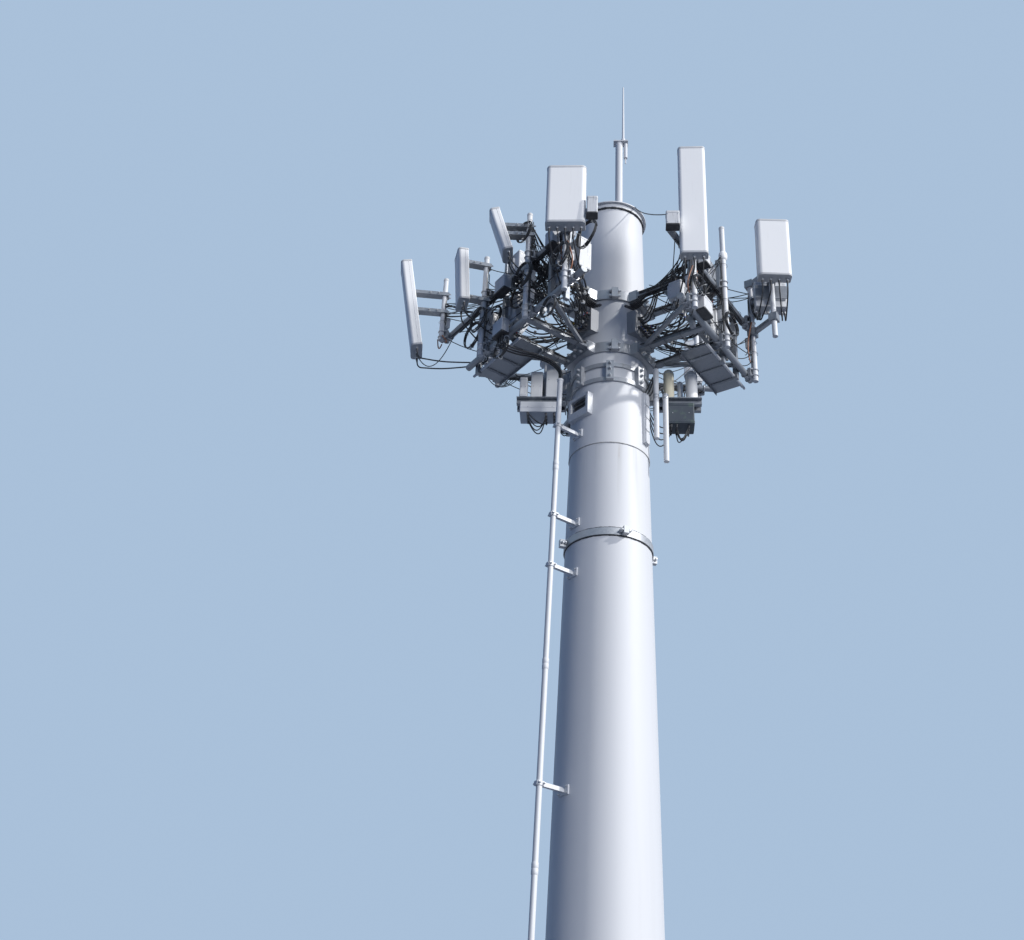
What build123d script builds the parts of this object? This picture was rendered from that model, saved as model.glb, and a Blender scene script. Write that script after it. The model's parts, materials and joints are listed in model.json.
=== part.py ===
"""Tapered monopole with three antenna sectors, a lower equipment mount and a stand-off cable conduit.

Millimetres, +Z up. The origin is the centre of the base flange's underside.
Azimuths are counted from the front, -Y, towards the right, +X.
"""
from build123d import *
from math import cos, radians, sin, tan
import os

# Pole
POLE_HEIGHT = 14800
BASE_DIAMETER = 1282
TOP_DIAMETER = 720
POLE_WALL = 8
JOINT_DROP = 3380
JOINT_HEIGHT = POLE_HEIGHT - JOINT_DROP
JOINT_LAP = 1000
SEAT_GAP = 0.3
SLEEVE = POLE_WALL + SEAT_GAP
CAP_THICK = 12
CAP_OVERHANG = 45
CAP_SKIRT = 60

# Foot
FLANGE_DIAMETER = 1660
FLANGE_THICK = 55
BOLT_CIRCLE = 1500
BOLT_COUNT = 16
BOLT_HOLE = 42
GUSSET_HEIGHT = 260
GUSSET_THICK = 16

# Collars, down from the pole's top
COLLAR_TALL = 130
COLLAR_WALL = 22
COLLAR_SEAT = 30
COLLAR_DROP = 1400
COLLAR_SPACING = 740
UPPER_COLLAR = POLE_HEIGHT - COLLAR_DROP
LOWER_COLLAR = UPPER_COLLAR - COLLAR_SPACING

# Sector frames: radius to the face pipes, ends of each face pipe along the face
SECTOR_AZIMUTH = {"left": -52, "right": 60, "back": 186}
FRAME_RADIUS = 1260
UPPER_PIPE = {"left": (-1550, 1345), "right": (-970, 960), "back": (-1480, 1480)}
LOWER_PIPE = {"left": (-960, 1180), "right": (-760, 960), "back": (-480, 480)}
FACE_PIPE = 73
ARM_SIZE = 64
ARM_SPREAD = 360
BRACE_SIZE = 40
BRACE_END = 620
KNEE_REACH = (500, 110)
DECK = {"left": (-930, -100), "right": (60, 930)}
DECK_THICK = 16
DECK_INNER = 850

# Mast pipes: place along the face, foot above the lower face pipe, length
MAST_PIPE = 60
MAST_STAND_OFF = 100
MAST_RADIUS = FRAME_RADIUS + MAST_STAND_OFF
MASTS = {
    "left": [(-1480, 660, 920), (-560, -110, 1400), (290, -110, 1440), (985, -190, 1380)],
    "right": [(-630, -110, 1800), (140, -110, 1690), (860, -110, 1390)],
    "back": [(-1240, 640, 1150), (0, -110, 1600), (1240, 640, 1150)],
}
CLAMP_WIDE = 130
CLAMP_TALL = 110

# Outrigger of the right sector: the mast it is held by, its own place, radius, foot and length
OUTRIGGER_FROM = 2
OUTRIGGER_PLACE = 720
OUTRIGGER_REACH = 320
OUTRIGGER_RADIUS = MAST_RADIUS + OUTRIGGER_REACH
OUTRIGGER_FOOT = 300
OUTRIGGER_LENGTH = 1440
OUTRIGGER_BARS = (560, 1262)
OUTRIGGER_CLAMP = 96
OUTRIGGER_BAR = 50
# Pair of radios behind the outer mast: place either side of it, foot, width, height
OUTER_RADIO_PLACE = 95
OUTER_RADIO_FOOT = 780
OUTER_RADIO_SIZE = (170, 360)
OUTER_RADIO_TURN = 3
OUTER_PLATE = 12

# Heights of a panel's two brackets, as shares of its length
WIDE_SPREAD = (0.14, 0.84)
CLOSE_SPREAD = (0.47, 0.68)
# Antenna panels: mast, azimuth, reach from the mast's axis, foot above the lower face pipe, length, width,
# depth, tilt, brackets
PANELS = {
    "left": [
        (0, -82, 205, 480, 1275, 290, 130, 10.4, CLOSE_SPREAD),
        (1, -74, 180, 555, 720, 260, 120, 4.8, WIDE_SPREAD),
        (2, -86, 165, 745, 600, 240, 110, 17, CLOSE_SPREAD),
        (3, 0, 155, 450, 740, 405, 150, 3, WIDE_SPREAD),
    ],
    "right": [
        (0, -1, 125, 430, 1440, 290, 120, 3, WIDE_SPREAD),
        (3, 3, 125, 970, 770, 370, 150, 4, WIDE_SPREAD),
    ],
    "back": [
        (0, 164, 125, 1130, 620, 405, 150, 8, WIDE_SPREAD),
        (1, 186, 125, 300, 1430, 290, 120, 3, WIDE_SPREAD),
        (2, 208, 125, 1130, 620, 405, 150, 8, WIDE_SPREAD),
    ],
}
BRACKET_WIDE = 90
BRACKET_TALL = 46
CONNECTOR = 26
CONNECTOR_LONG = 34
CONNECTOR_PITCH = 75

# Radios on upright rails behind the face pipes: place along the face, foot above the lower pipe, width, height
RADIOS = {
    "left": [(-840, 290, 280, 400), (-360, 290, 280, 400), (520, 290, 260, 400), (800, 290, 260, 400),
             (-360, 960, 280, 340), (520, 960, 260, 340)],
    "right": [(-360, 240, 280, 220), (360, 290, 280, 400), (700, 290, 260, 400), (360, 960, 280, 340)],
    "back": [(-360, 290, 280, 400), (360, 290, 280, 400)],
}
RADIO_DEEP = 170
RADIO_GAP = 28
RADIO_FINS = 9
FIN_DEEP = 22
FIN_THICK = 6
PORT_SHARES = (-0.38, -0.18, 0.18, 0.38)
RAIL_SIZE = 50
RAIL_FOOT = 120

# Small amplifiers on the face pipes: pipe, place along the face, turn, foot above that pipe, width, height
AMPLIFIERS = {
    "left": [("upper", -200, 0, -190, 200, 190), ("upper", 725, 0, -170, 140, 190),
             ("upper", 1345, 52, -220, 110, 230), ("lower", -190, 0, -60, 190, 190)],
    "right": [("upper", -330, 0, -60, 110, 140), ("upper", -970, -60, -40, 140, 190),
              ("lower", -370, 0, -10, 200, 190)],
}
AMPLIFIER_DEEP = 100

# Jumper leads: panel, its connector, radio, its port
LEAD = 16
LEAD_DROP = 125
LEAD_SAG = 35
LEADS = {
    "left": [(0, 0, 0, 0), (0, 2, 0, 1), (1, 0, 0, 3), (1, 2, 1, 0), (2, 0, 2, 0), (2, 2, 2, 1),
             (3, 0, 2, 2), (3, 3, 3, 3), (3, 2, 3, 2)],
    "right": [(0, 0, 0, 0), (0, 1, 0, 1)],
    "back": [(1, 0, 0, 3), (1, 2, 1, 0)],
}

# Cable entries: a gland plate on the pole between the collars, facing each sector
ENTRY_DROP = 370
ENTRY_HEIGHT = UPPER_COLLAR - ENTRY_DROP
ENTRY_WIDE = 440
ENTRY_TALL = 300
ENTRY_DEEP = 40
GLAND_PITCH = 48
GLAND_ROWS = {"high": 75, "low": -50}
# Trunk cables from the glands: row, column, radio, port, sag
TRUNK = 18
TRUNK_DROP = 130
TRUNKS = {
    "left": [("low", -3, 0, 2, 175), ("low", -2, 1, 1, 120), ("low", -1, 1, 2, 190), ("low", 0, 1, 3, 150),
             ("low", 1, 2, 3, 200), ("low", 2, 3, 0, 130), ("low", 3, 3, 1, 180),
             ("high", -4, 4, 0, 60), ("high", -3, 4, 1, 20), ("high", -2, 4, 2, 75), ("high", -1, 4, 3, 35),
             ("high", 1, 5, 0, 50), ("high", 2, 5, 1, 15), ("high", 3, 5, 2, 70), ("high", 4, 5, 3, 30)],
    "right": [("low", -3, 0, 2, 190), ("low", -2, 0, 3, 140), ("low", -1, 1, 0, 180), ("low", 0, 1, 1, 120),
              ("low", 1, 1, 2, 200), ("low", 2, 1, 3, 150), ("low", 3, 2, 0, 175), ("low", 4, 2, 1, 125),
              ("high", 1, 3, 0, 60), ("high", 2, 3, 1, 20), ("high", 3, 3, 2, 75), ("high", 4, 3, 3, 35)],
    "back": [("low", -3, 0, 0, 160), ("low", -2, 0, 1, 120), ("low", -1, 0, 2, 180),
             ("low", 1, 1, 1, 140), ("low", 2, 1, 2, 190), ("low", 3, 1, 3, 125)],
}
# Cables over the right sector's near arm to its middle amplifier: columns of the high row
ARM_CABLES = (-3, -2, -1)
# Cables from the conduit's top to the left sector's lower amplifier: offsets across the conduit
CONDUIT_CABLES = (-20, 0, 20)

# Top mast and rod
MAST_SPOT = (90, -60)
TOP_MAST_DIAMETER = 90
TOP_MAST_LENGTH = 1310
MAST_FOOT_PLATE = 16
CLAMP_PLATE = 14
ROD_LENGTH = 1000
ROD_OFFSET = 50
WHIP_OFFSET = 80
WHIP_LENGTH = 250

# Lower ring and its shelves
RING_DROP = 330
LOWER_RING = LOWER_COLLAR - RING_DROP
RING_SEAT = 60
SHELF_DROP = 130
SHELF_HEIGHT = LOWER_RING - SHELF_DROP
SHELF_AZIMUTH = {"right": 90, "left": -90}
SHELF_LENGTH = {"right": 520, "left": 540}
SHELF_WIDTH = 260
SHELF_PLATE = 12
SHELF_BAR = 50
# Round-topped antennas: out from the ring, across the shelf, radius, height of the straight part
RADOMES = [(420, 0, 65, 370), (170, -30, 58, 370), (300, 90, 30, 330)]
# Upright pipes at the right shelf's front edge: out from the ring, foot below the shelf, length
SHELF_PIPES = [(25, 560, 900), (125, 850, 860)]
# Housings: side, on or under the shelf, out, across, depth out, width across, height
SHELF_BOXES = [
    ("right", "under", 290, 0, 290, 220, 260),
    ("left", "on", 150, 0, 150, 200, 500),
    ("left", "on", 330, -40, 130, 180, 390),
    ("left", "on", 470, 60, 80, 160, 250),
    ("left", "under", 280, 0, 440, 240, 130),
]
DOME_PLACE = (245, -100)
DOME_POST = 610
DOME_RADIUS = 70

# Strap ring
STRAP_DROP = 1980
STRAP_HEIGHT = LOWER_RING - STRAP_DROP
STRAP_TALL = 80
STRAP_WALL = 14

# Conduit and entries
CONDUIT = 56
CONDUIT_OFF = 280
CONDUIT_AZIMUTH = -50
CONDUIT_FOOT = 60
CONDUIT_TOP = LOWER_RING - 130
CONDUIT_BRACKETS = (600, 2400, 4300, 6100, 7750, STRAP_HEIGHT - 400, STRAP_HEIGHT + 170, CONDUIT_TOP - 600)
PORT_DROP = 400
PORT_HEIGHT = LOWER_RING - PORT_DROP
PORT_AZIMUTH = -46
PORT_WIDTH = 300
PORT_TALL = 270
PORT_RIM = 35
PORT_SILL = 90
STRIP_DROP = 490
STRIP_HEIGHT = LOWER_RING - STRIP_DROP
STRIP_LENGTH = 640
STRIP_PLATES = 4
STRIP_AZIMUTH = 60

BASE_ALIGN = (Align.CENTER, Align.CENTER, Align.MIN)
TOP_ALIGN = (Align.CENTER, Align.CENTER, Align.MAX)


def taper_radius(height):
    """Radius of the lower section's taper, carried on to the pole's top."""
    return (BASE_DIAMETER + (TOP_DIAMETER - BASE_DIAMETER) * height / POLE_HEIGHT) / 2


def pole_radius(height):
    """Outer radius of the pole at a height, with the step where the upper section slips over."""
    return taper_radius(height) + (SLEEVE if height > JOINT_HEIGHT else 0)


def cone(low, high, offset):
    """Solid cone that follows the pole's taper, moved out by an offset."""
    body = Cone(taper_radius(low) + offset, taper_radius(high) + offset, high - low, align=BASE_ALIGN)
    return Pos(0, 0, low) * body


def clearance(low, high):
    """The pole between two heights with a seat gap around it, to cut what hugs it."""
    if high <= JOINT_HEIGHT:
        return cone(low, high, SEAT_GAP)
    if low >= JOINT_HEIGHT:
        return cone(low, high, SLEEVE + SEAT_GAP)
    return cone(low, JOINT_HEIGHT, SEAT_GAP) + cone(JOINT_HEIGHT - 1, high, SLEEVE + SEAT_GAP)


def ring(low, high, wall):
    """Ring that hugs the pole between two heights, a seat gap away from it."""
    sleeve = SLEEVE if low > JOINT_HEIGHT else 0
    return cone(low, high, sleeve + SEAT_GAP + wall) - clearance(low - 1, high + 1)


def block(x0, x1, y0, y1, z0, z1):
    """Box between two corners."""
    return Pos((x0 + x1) / 2, (y0 + y1) / 2, (z0 + z1) / 2) * Box(x1 - x0, y1 - y0, z1 - z0)


def rod(start, end, diameter):
    """Round bar from one point to another."""
    start, end = Vector(*start), Vector(*end)
    plane = Plane(origin=start, z_dir=end - start)
    return plane * Cylinder(diameter / 2, (end - start).length, align=BASE_ALIGN)


def beam(start, end, size):
    """Square bar from one point to another."""
    start, end = Vector(*start), Vector(*end)
    run = end - start
    side = Vector(0, 0, 1).cross(run) if abs(run.Z) < 0.9 * run.length else Vector(1, 0, 0)
    plane = Plane(origin=start, x_dir=side, z_dir=run)
    return plane * Box(size, size, run.length, align=BASE_ALIGN)


def turned(azimuth):
    """Turn that brings the front, -Y, to an azimuth."""
    return Rot(0, 0, azimuth)


def face_place(azimuth, along, out, height):
    """Point given by its place along a sector's face, its distance out and its height."""
    return (turned(azimuth) * Pos(along, -out, height)).position


def fused(pieces):
    """One solid from pieces that run into each other."""
    body = pieces[0]
    for piece in pieces[1:]:
        body += piece
    return body


def lead(points, diameter):
    """Cable along straight runs joined by tangent arcs as large as the runs allow."""
    points = [Vector(*p) for p in points]
    radii = []
    for a, b, c in zip(points, points[1:], points[2:]):
        turn = radians((b - a).get_angle(c - b))
        radii.append(0.45 * min((b - a).length, (c - b).length) / tan(turn / 2))
    path = FilletPolyline(*points, radius=radii)
    section = Plane(origin=points[0], z_dir=points[1] - points[0]) * Circle(diameter / 2)
    return sweep(section, path=path)


def base_flange():
    """Round plate with bolt holes and, between the bolts, gussets up to the pole's wall."""
    plate = Pos(0, 0, FLANGE_THICK / 2) * Cylinder(FLANGE_DIAMETER / 2, FLANGE_THICK)
    for i in range(BOLT_COUNT):
        hole = Cylinder(BOLT_HOLE / 2, 4 * FLANGE_THICK)
        plate -= turned(360 * i / BOLT_COUNT) * Pos(0, -BOLT_CIRCLE / 2, 0) * hole
    top = FLANGE_THICK + GUSSET_HEIGHT
    inner = pole_radius(GUSSET_HEIGHT) - 40
    reach = FLANGE_DIAMETER / 2 - 12
    outline = Polyline((inner, FLANGE_THICK - 1), (reach, FLANGE_THICK - 1), (reach, FLANGE_THICK + 30),
                       (pole_radius(0) + 24, top), (inner, top), close=True)
    for i in range(BOLT_COUNT):
        rib = extrude(Plane.XZ * make_face(outline), GUSSET_THICK / 2, both=True)
        plate += Rot(0, 0, 360 * (i + 0.5) / BOLT_COUNT - 90) * rib
    return plate - cone(FLANGE_THICK, top + 50, SEAT_GAP)


def pole_lower():
    """Lower section, a rolled plate shell that stands on the flange."""
    top = JOINT_HEIGHT + JOINT_LAP
    return cone(FLANGE_THICK, top, 0) - cone(FLANGE_THICK - 1, top + 1, -POLE_WALL)


def pole_upper():
    """Upper section, slipped over the lower one and seated on its taper."""
    return cone(JOINT_HEIGHT, POLE_HEIGHT, SLEEVE) - cone(JOINT_HEIGHT - 1, POLE_HEIGHT + 1, SEAT_GAP)


def top_cap():
    """Cap plate that overhangs the pole, with a skirt under its rim."""
    disc = Cylinder(pole_radius(POLE_HEIGHT) + CAP_OVERHANG, CAP_THICK, align=BASE_ALIGN)
    skirt = ring(POLE_HEIGHT - CAP_SKIRT, POLE_HEIGHT + SEAT_GAP, CAP_THICK)
    return Pos(0, 0, POLE_HEIGHT + SEAT_GAP) * disc + skirt


def seat_radius(height):
    """How far out the arms' seat on a collar lies."""
    return pole_radius(height - COLLAR_TALL / 2) + COLLAR_WALL + COLLAR_SEAT


def collar(height):
    """Bolted ring around the pole with a seat for each sector's arms and a bolting lug between them."""
    low, high = height - COLLAR_TALL / 2, height + COLLAR_TALL / 2
    band = ring(low, high, COLLAR_WALL)
    radius = seat_radius(height)
    half = ARM_SPREAD / 2 + ARM_SIZE / 2
    for azimuth in SECTOR_AZIMUTH.values():
        band += turned(azimuth) * block(-half, half, -radius, -radius + 3 * COLLAR_SEAT, low, high)
        band += turned(azimuth + 58) * block(-35, 35, -radius - 15, -radius + 70, low, high)
    return band - clearance(low - 5, high + 5)


def face_pipe(name, height):
    """Ends of a sector's face pipe at a collar's height."""
    return UPPER_PIPE[name] if height == UPPER_COLLAR else LOWER_PIPE[name]


def sector_frame(name):
    """Two pairs of arms on their seat plates, two face pipes, plan braces and knees, welded together."""
    pieces = []
    side_place = ARM_SPREAD / 2
    for height in (UPPER_COLLAR, LOWER_COLLAR):
        inner = seat_radius(height) + SEAT_GAP
        half = side_place + ARM_SIZE / 2
        start, end = face_pipe(name, height)
        pieces.append(block(-half, half, -inner - 16, -inner, height - 60, height + 60))
        pieces.append(rod((start, -FRAME_RADIUS, height), (end, -FRAME_RADIUS, height), FACE_PIPE))
        for side in (-1, 1):
            x = side * side_place
            pieces.append(beam((x, -inner - 4, height), (x, -FRAME_RADIUS, height), ARM_SIZE))
    brace_end = min(BRACE_END, end - BRACE_SIZE, -start - BRACE_SIZE)
    for side in (-1, 1):
        x = side * side_place
        outer_end = (side * brace_end, -FRAME_RADIUS, LOWER_COLLAR)
        pieces.append(beam((x, -inner - 60, LOWER_COLLAR), outer_end, BRACE_SIZE))
        knee_start, knee_end = (FRAME_RADIUS - reach for reach in KNEE_REACH)
        pieces.append(beam((x, -knee_start, UPPER_COLLAR), (x, -knee_end, LOWER_COLLAR), BRACE_SIZE))
    return turned(SECTOR_AZIMUTH[name]) * fused(pieces)


def deck(name):
    """Plate with folded long edges under the lower arms, behind the face pipe."""
    start, end = DECK[name]
    top = LOWER_COLLAR - ARM_SIZE / 2 - SEAT_GAP
    outer = FRAME_RADIUS - FACE_PIPE / 2 - RAIL_SIZE - 10
    plate = block(start, end, -outer, -DECK_INNER, top - DECK_THICK, top)
    for edge in (outer - 6, DECK_INNER):
        plate += block(start, end, -edge - 6, -edge, top - 3 * DECK_THICK, top)
    return turned(SECTOR_AZIMUTH[name]) * plate


def mast_list(name):
    """Place along the face, radius, foot height and length of each mast pipe of a sector."""
    pipes = [(x, MAST_RADIUS, LOWER_COLLAR + foot, length) for x, foot, length in MASTS[name]]
    if name == "right":
        pipes.append((OUTRIGGER_PLACE, OUTRIGGER_RADIUS, LOWER_COLLAR + OUTRIGGER_FOOT, OUTRIGGER_LENGTH))
    return pipes


def mast_pipes(name):
    """Vertical pipes in front of the face pipes."""
    pipes = []
    for x, out, foot, length in mast_list(name):
        pipes.append(rod((x, -out, foot), (x, -out, foot + length), MAST_PIPE))
    return turned(SECTOR_AZIMUTH[name]) * Compound(children=pipes)


def mast_clamps(name):
    """Crossover blocks that hold each vertical pipe to the face pipes that it passes."""
    blocks = []
    outer = MAST_RADIUS - MAST_PIPE / 2 - SEAT_GAP
    inner = FRAME_RADIUS + FACE_PIPE / 2 + SEAT_GAP
    for x, foot, length in MASTS[name]:
        for height in (UPPER_COLLAR, LOWER_COLLAR):
            if LOWER_COLLAR + foot < height:
                clamp = block(x - CLAMP_WIDE / 2, x + CLAMP_WIDE / 2, -outer, -inner,
                              height - CLAMP_TALL / 2, height + CLAMP_TALL / 2)
                blocks.append(turned(SECTOR_AZIMUTH[name]) * clamp)
    return blocks


def outrigger():
    """Two bars with a clamp at each end that hold the right sector's outer mast, and the radio plate on it."""
    inner = (MASTS["right"][OUTRIGGER_FROM][0], -MAST_RADIUS)
    outer = (OUTRIGGER_PLACE, -OUTRIGGER_RADIUS)
    half = OUTRIGGER_CLAMP / 2
    bars = []
    for rise in OUTRIGGER_BARS:
        height = LOWER_COLLAR + rise
        bar = beam((*inner, height), (*outer, height), OUTRIGGER_BAR)
        for x, y in (inner, outer):
            bar += block(x - half, x + half, y - half, y + half, height - half, height + half)
        for x, y in (inner, outer):
            bar -= Pos(x, y, height) * Cylinder(MAST_PIPE / 2 + SEAT_GAP, 2 * OUTRIGGER_CLAMP)
        bars.append(bar)
    bars = [turned(SECTOR_AZIMUTH["right"]) * bar for bar in bars]
    width, tall = OUTER_RADIO_SIZE
    half = OUTER_RADIO_PLACE + width / 2
    front = MAST_PIPE / 2 + SEAT_GAP
    plate = block(-half, half, front, front + OUTER_PLATE, 0.25 * tall, 0.75 * tall)
    return Compound(children=bars + [outer_radio_place() * plate])


def outer_radio_place():
    """Place of the outer mast at the outer radios' feet, turned as they are."""
    foot = LOWER_COLLAR + OUTER_RADIO_FOOT
    spot = face_place(SECTOR_AZIMUTH["right"], OUTRIGGER_PLACE, OUTRIGGER_RADIUS, foot)
    return Pos(*spot) * turned(OUTER_RADIO_TURN)


def connector_count(width):
    """How many connectors a housing of this width has under its foot."""
    return max(2, int(width // CONNECTOR_PITCH))


def connector_spot(width, depth, index):
    """Place of a panel's connector in the panel's own frame, at the connector's lower end."""
    return Vector(width * ((index + 0.5) / connector_count(width) - 0.5), -depth / 2, -CONNECTOR_LONG)


def panel_body(width, depth, length):
    """Antenna housing with a rounded front, and connectors under its foot."""
    body = block(-width / 2, width / 2, -depth, 0, 0, length)
    body = fillet(body.edges().filter_by(Axis.Z).sort_by(Axis.Y)[:2], 0.3 * depth)
    body = fillet(body.edges().filter_by(Axis.Z).sort_by(Axis.Y)[-2:], 10)
    stub = Cylinder(CONNECTOR / 2, CONNECTOR_LONG + 1, align=BASE_ALIGN)
    for i in range(connector_count(width)):
        body += Pos(*connector_spot(width, depth, i)) * stub
    return body


def panel_place(name, index):
    """Place of one panel: its mast, turn and tilt."""
    mast, azimuth, reach, foot, _, _, _, tilt, _ = PANELS[name][index]
    along, out, _, _ = mast_list(name)[mast]
    spot = face_place(SECTOR_AZIMUTH[name], along, out, LOWER_COLLAR + foot)
    return Pos(*spot) * turned(azimuth) * Pos(0, -reach, 0) * Rot(tilt, 0, 0)


def panel(name, index):
    """One antenna panel at its place."""
    _, _, _, _, length, width, depth, _, _ = PANELS[name][index]
    return panel_place(name, index) * panel_body(width, depth, length)


def panel_brackets(name):
    """Clamps and arms that carry the panels, longer at the top where a panel leans out."""
    solids = []
    for index, (mast, azimuth, reach, foot, length, _, _, tilt, spread) in enumerate(PANELS[name]):
        along, out, _, _ = mast_list(name)[mast]
        spot = face_place(SECTOR_AZIMUTH[name], along, out, LOWER_COLLAR + foot)
        body = panel(name, index)
        for share in spread:
            height = share * length * cos(radians(tilt))
            end = reach + height * tan(radians(tilt)) + 30
            arm = block(-BRACKET_WIDE / 2, BRACKET_WIDE / 2, -end, MAST_PIPE / 2 + 20,
                        height - BRACKET_TALL / 2, height + BRACKET_TALL / 2)
            arm -= Pos(0, 0, height) * Cylinder(MAST_PIPE / 2 + SEAT_GAP, 2 * BRACKET_TALL)
            cut = Pos(*spot) * turned(azimuth) * arm - body
            solids.append(cut.solids().sort_by(SortBy.VOLUME)[-1])
    return solids


def rail_out():
    """How far out the middle of the radio rails lies."""
    return FRAME_RADIUS - FACE_PIPE / 2 - RAIL_SIZE / 2 - SEAT_GAP


def radio_rails(name):
    """Vertical rails behind the face pipes that carry the radios."""
    rails = []
    for place in sorted({x for x, _, _, _ in RADIOS[name]}):
        top = LOWER_COLLAR + max(foot + tall for x, foot, _, tall in RADIOS[name] if x == place) + 30
        top = max(top, UPPER_COLLAR + FACE_PIPE)
        rails.append(beam((place, -rail_out(), LOWER_COLLAR - RAIL_FOOT), (place, -rail_out(), top), RAIL_SIZE))
    return turned(SECTOR_AZIMUTH[name]) * Compound(children=rails)


def radio(width, tall):
    """Radio housing with upright fins behind, a bracket in front and ports under its foot."""
    body = block(-width / 2, width / 2, 0, RADIO_DEEP - FIN_DEEP, 0, tall)
    body = fillet(body.edges().filter_by(Axis.Z), 12)
    body += block(-60, 60, -RADIO_GAP, 2, 0.25 * tall, 0.75 * tall)
    for i in range(RADIO_FINS):
        x = (width - 40) * (i / (RADIO_FINS - 1) - 0.5)
        body += Pos(x, 0, 0) * block(-FIN_THICK / 2, FIN_THICK / 2, RADIO_DEEP - FIN_DEEP - 1, RADIO_DEEP, 20, tall - 20)
    stub = Cylinder(CONNECTOR / 2, CONNECTOR_LONG + 1, align=BASE_ALIGN)
    for share in PORT_SHARES:
        body += Pos(share * width, RADIO_DEEP / 2, -CONNECTOR_LONG) * stub
    return body


def radio_place(name, index):
    """Place of one radio on its rail."""
    x, foot, _, _ = RADIOS[name][index]
    out = rail_out() - RAIL_SIZE / 2 - SEAT_GAP - RADIO_GAP
    return turned(SECTOR_AZIMUTH[name]) * Pos(x, -out, LOWER_COLLAR + foot)


def radios(name):
    """Radios of one sector on their rails."""
    bodies = []
    for index, (_, _, width, tall) in enumerate(RADIOS[name]):
        bodies.append(radio_place(name, index) * radio(width, tall))
    if name == "right":
        bodies += outer_radios()
    return Compound(children=bodies)


def outer_radios():
    """Two radios side by side on the plate behind the outer mast."""
    width, tall = OUTER_RADIO_SIZE
    front = MAST_PIPE / 2 + OUTER_PLATE + 2 * SEAT_GAP + RADIO_GAP
    places = [outer_radio_place() * Pos(side * OUTER_RADIO_PLACE, front, 0) for side in (-1, 1)]
    return [place * radio(width, tall) for place in places]


def outer_leads():
    """Leads from the outer panel's connectors to the outer radios' ports."""
    index = len(PANELS["right"]) - 1
    _, _, _, _, _, panel_width, depth, _, _ = PANELS["right"][index]
    width, _ = OUTER_RADIO_SIZE
    port_y = MAST_PIPE / 2 + OUTER_PLATE + 2 * SEAT_GAP + RADIO_GAP + RADIO_DEEP / 2
    leads = []
    for connector, side, port in ((0, -1, 0), (1, -1, 1), (2, 1, 2), (3, 1, 3)):
        start = panel_place("right", index) * Pos(*connector_spot(panel_width, depth, connector))
        x = side * OUTER_RADIO_PLACE + PORT_SHARES[port] * width
        end = outer_radio_place() * Pos(x, port_y, -CONNECTOR_LONG)
        leads.append(hung_lead(start, end))
    return leads


def amplifiers(name):
    """Small boxes on the front of the face pipes."""
    inner = FRAME_RADIUS + FACE_PIPE / 2 + SEAT_GAP
    bodies = []
    for pipe, x, turn, foot, width, tall in AMPLIFIERS[name]:
        low = (UPPER_COLLAR if pipe == "upper" else LOWER_COLLAR) + foot
        body = fillet(block(-width / 2, width / 2, -AMPLIFIER_DEEP, 0, 0, tall).edges().filter_by(Axis.Z), 12)
        bodies.append(Pos(x, -inner, low) * turned(turn) * body)
    return turned(SECTOR_AZIMUTH[name]) * Compound(children=bodies)


def hung_lead(start, end):
    """Lead from one connector's end down, across with a sag, and up into another."""
    points = [(start * Pos(0, 0, -SEAT_GAP)).position, (start * Pos(0, 0, -LEAD_DROP)).position,
              (end * Pos(0, 0, -LEAD_DROP)).position, (end * Pos(0, 0, -SEAT_GAP)).position]
    run = points[2] - points[1]
    sag = Vector(0, 0, LEAD_SAG)
    points[2:2] = [points[1] + run * 0.36 - sag, points[1] + run * 0.7 - sag * 0.6]
    return lead(points, LEAD)


def jumpers(name):
    """Leads from the panels' connectors to the radios' ports."""
    leads = []
    for panel_index, connector, radio_index, port in LEADS[name]:
        _, _, _, _, _, width, depth, _, _ = PANELS[name][panel_index]
        start = panel_place(name, panel_index) * Pos(*connector_spot(width, depth, connector))
        port_x = PORT_SHARES[port] * RADIOS[name][radio_index][2]
        end = radio_place(name, radio_index) * Pos(port_x, RADIO_DEEP / 2, -CONNECTOR_LONG)
        leads.append(hung_lead(start, end))
    if name == "right":
        leads += outer_leads()
    return Compound(children=leads)


def entry_face():
    """How far out an entry's gland plate faces."""
    return pole_radius(ENTRY_HEIGHT) + ENTRY_DEEP


def cable_entries():
    """Gland plates that hug the pole between the collars, one facing each sector."""
    half, rise = ENTRY_WIDE / 2, ENTRY_TALL / 2
    plates = []
    for azimuth in SECTOR_AZIMUTH.values():
        plate = block(-half, half, -entry_face(), -pole_radius(ENTRY_HEIGHT) + 90, ENTRY_HEIGHT - rise,
                      ENTRY_HEIGHT + rise)
        plate = turned(azimuth) * plate - clearance(ENTRY_HEIGHT - 2 * rise, ENTRY_HEIGHT + 2 * rise)
        plates.append(plate.solids().sort_by(SortBy.VOLUME)[-1])
    return Compound(children=plates)


def gland(row, column):
    """Place of a gland on an entry, as along, out and height."""
    return column * GLAND_PITCH, entry_face() + SEAT_GAP, ENTRY_HEIGHT + GLAND_ROWS[row]


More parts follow.
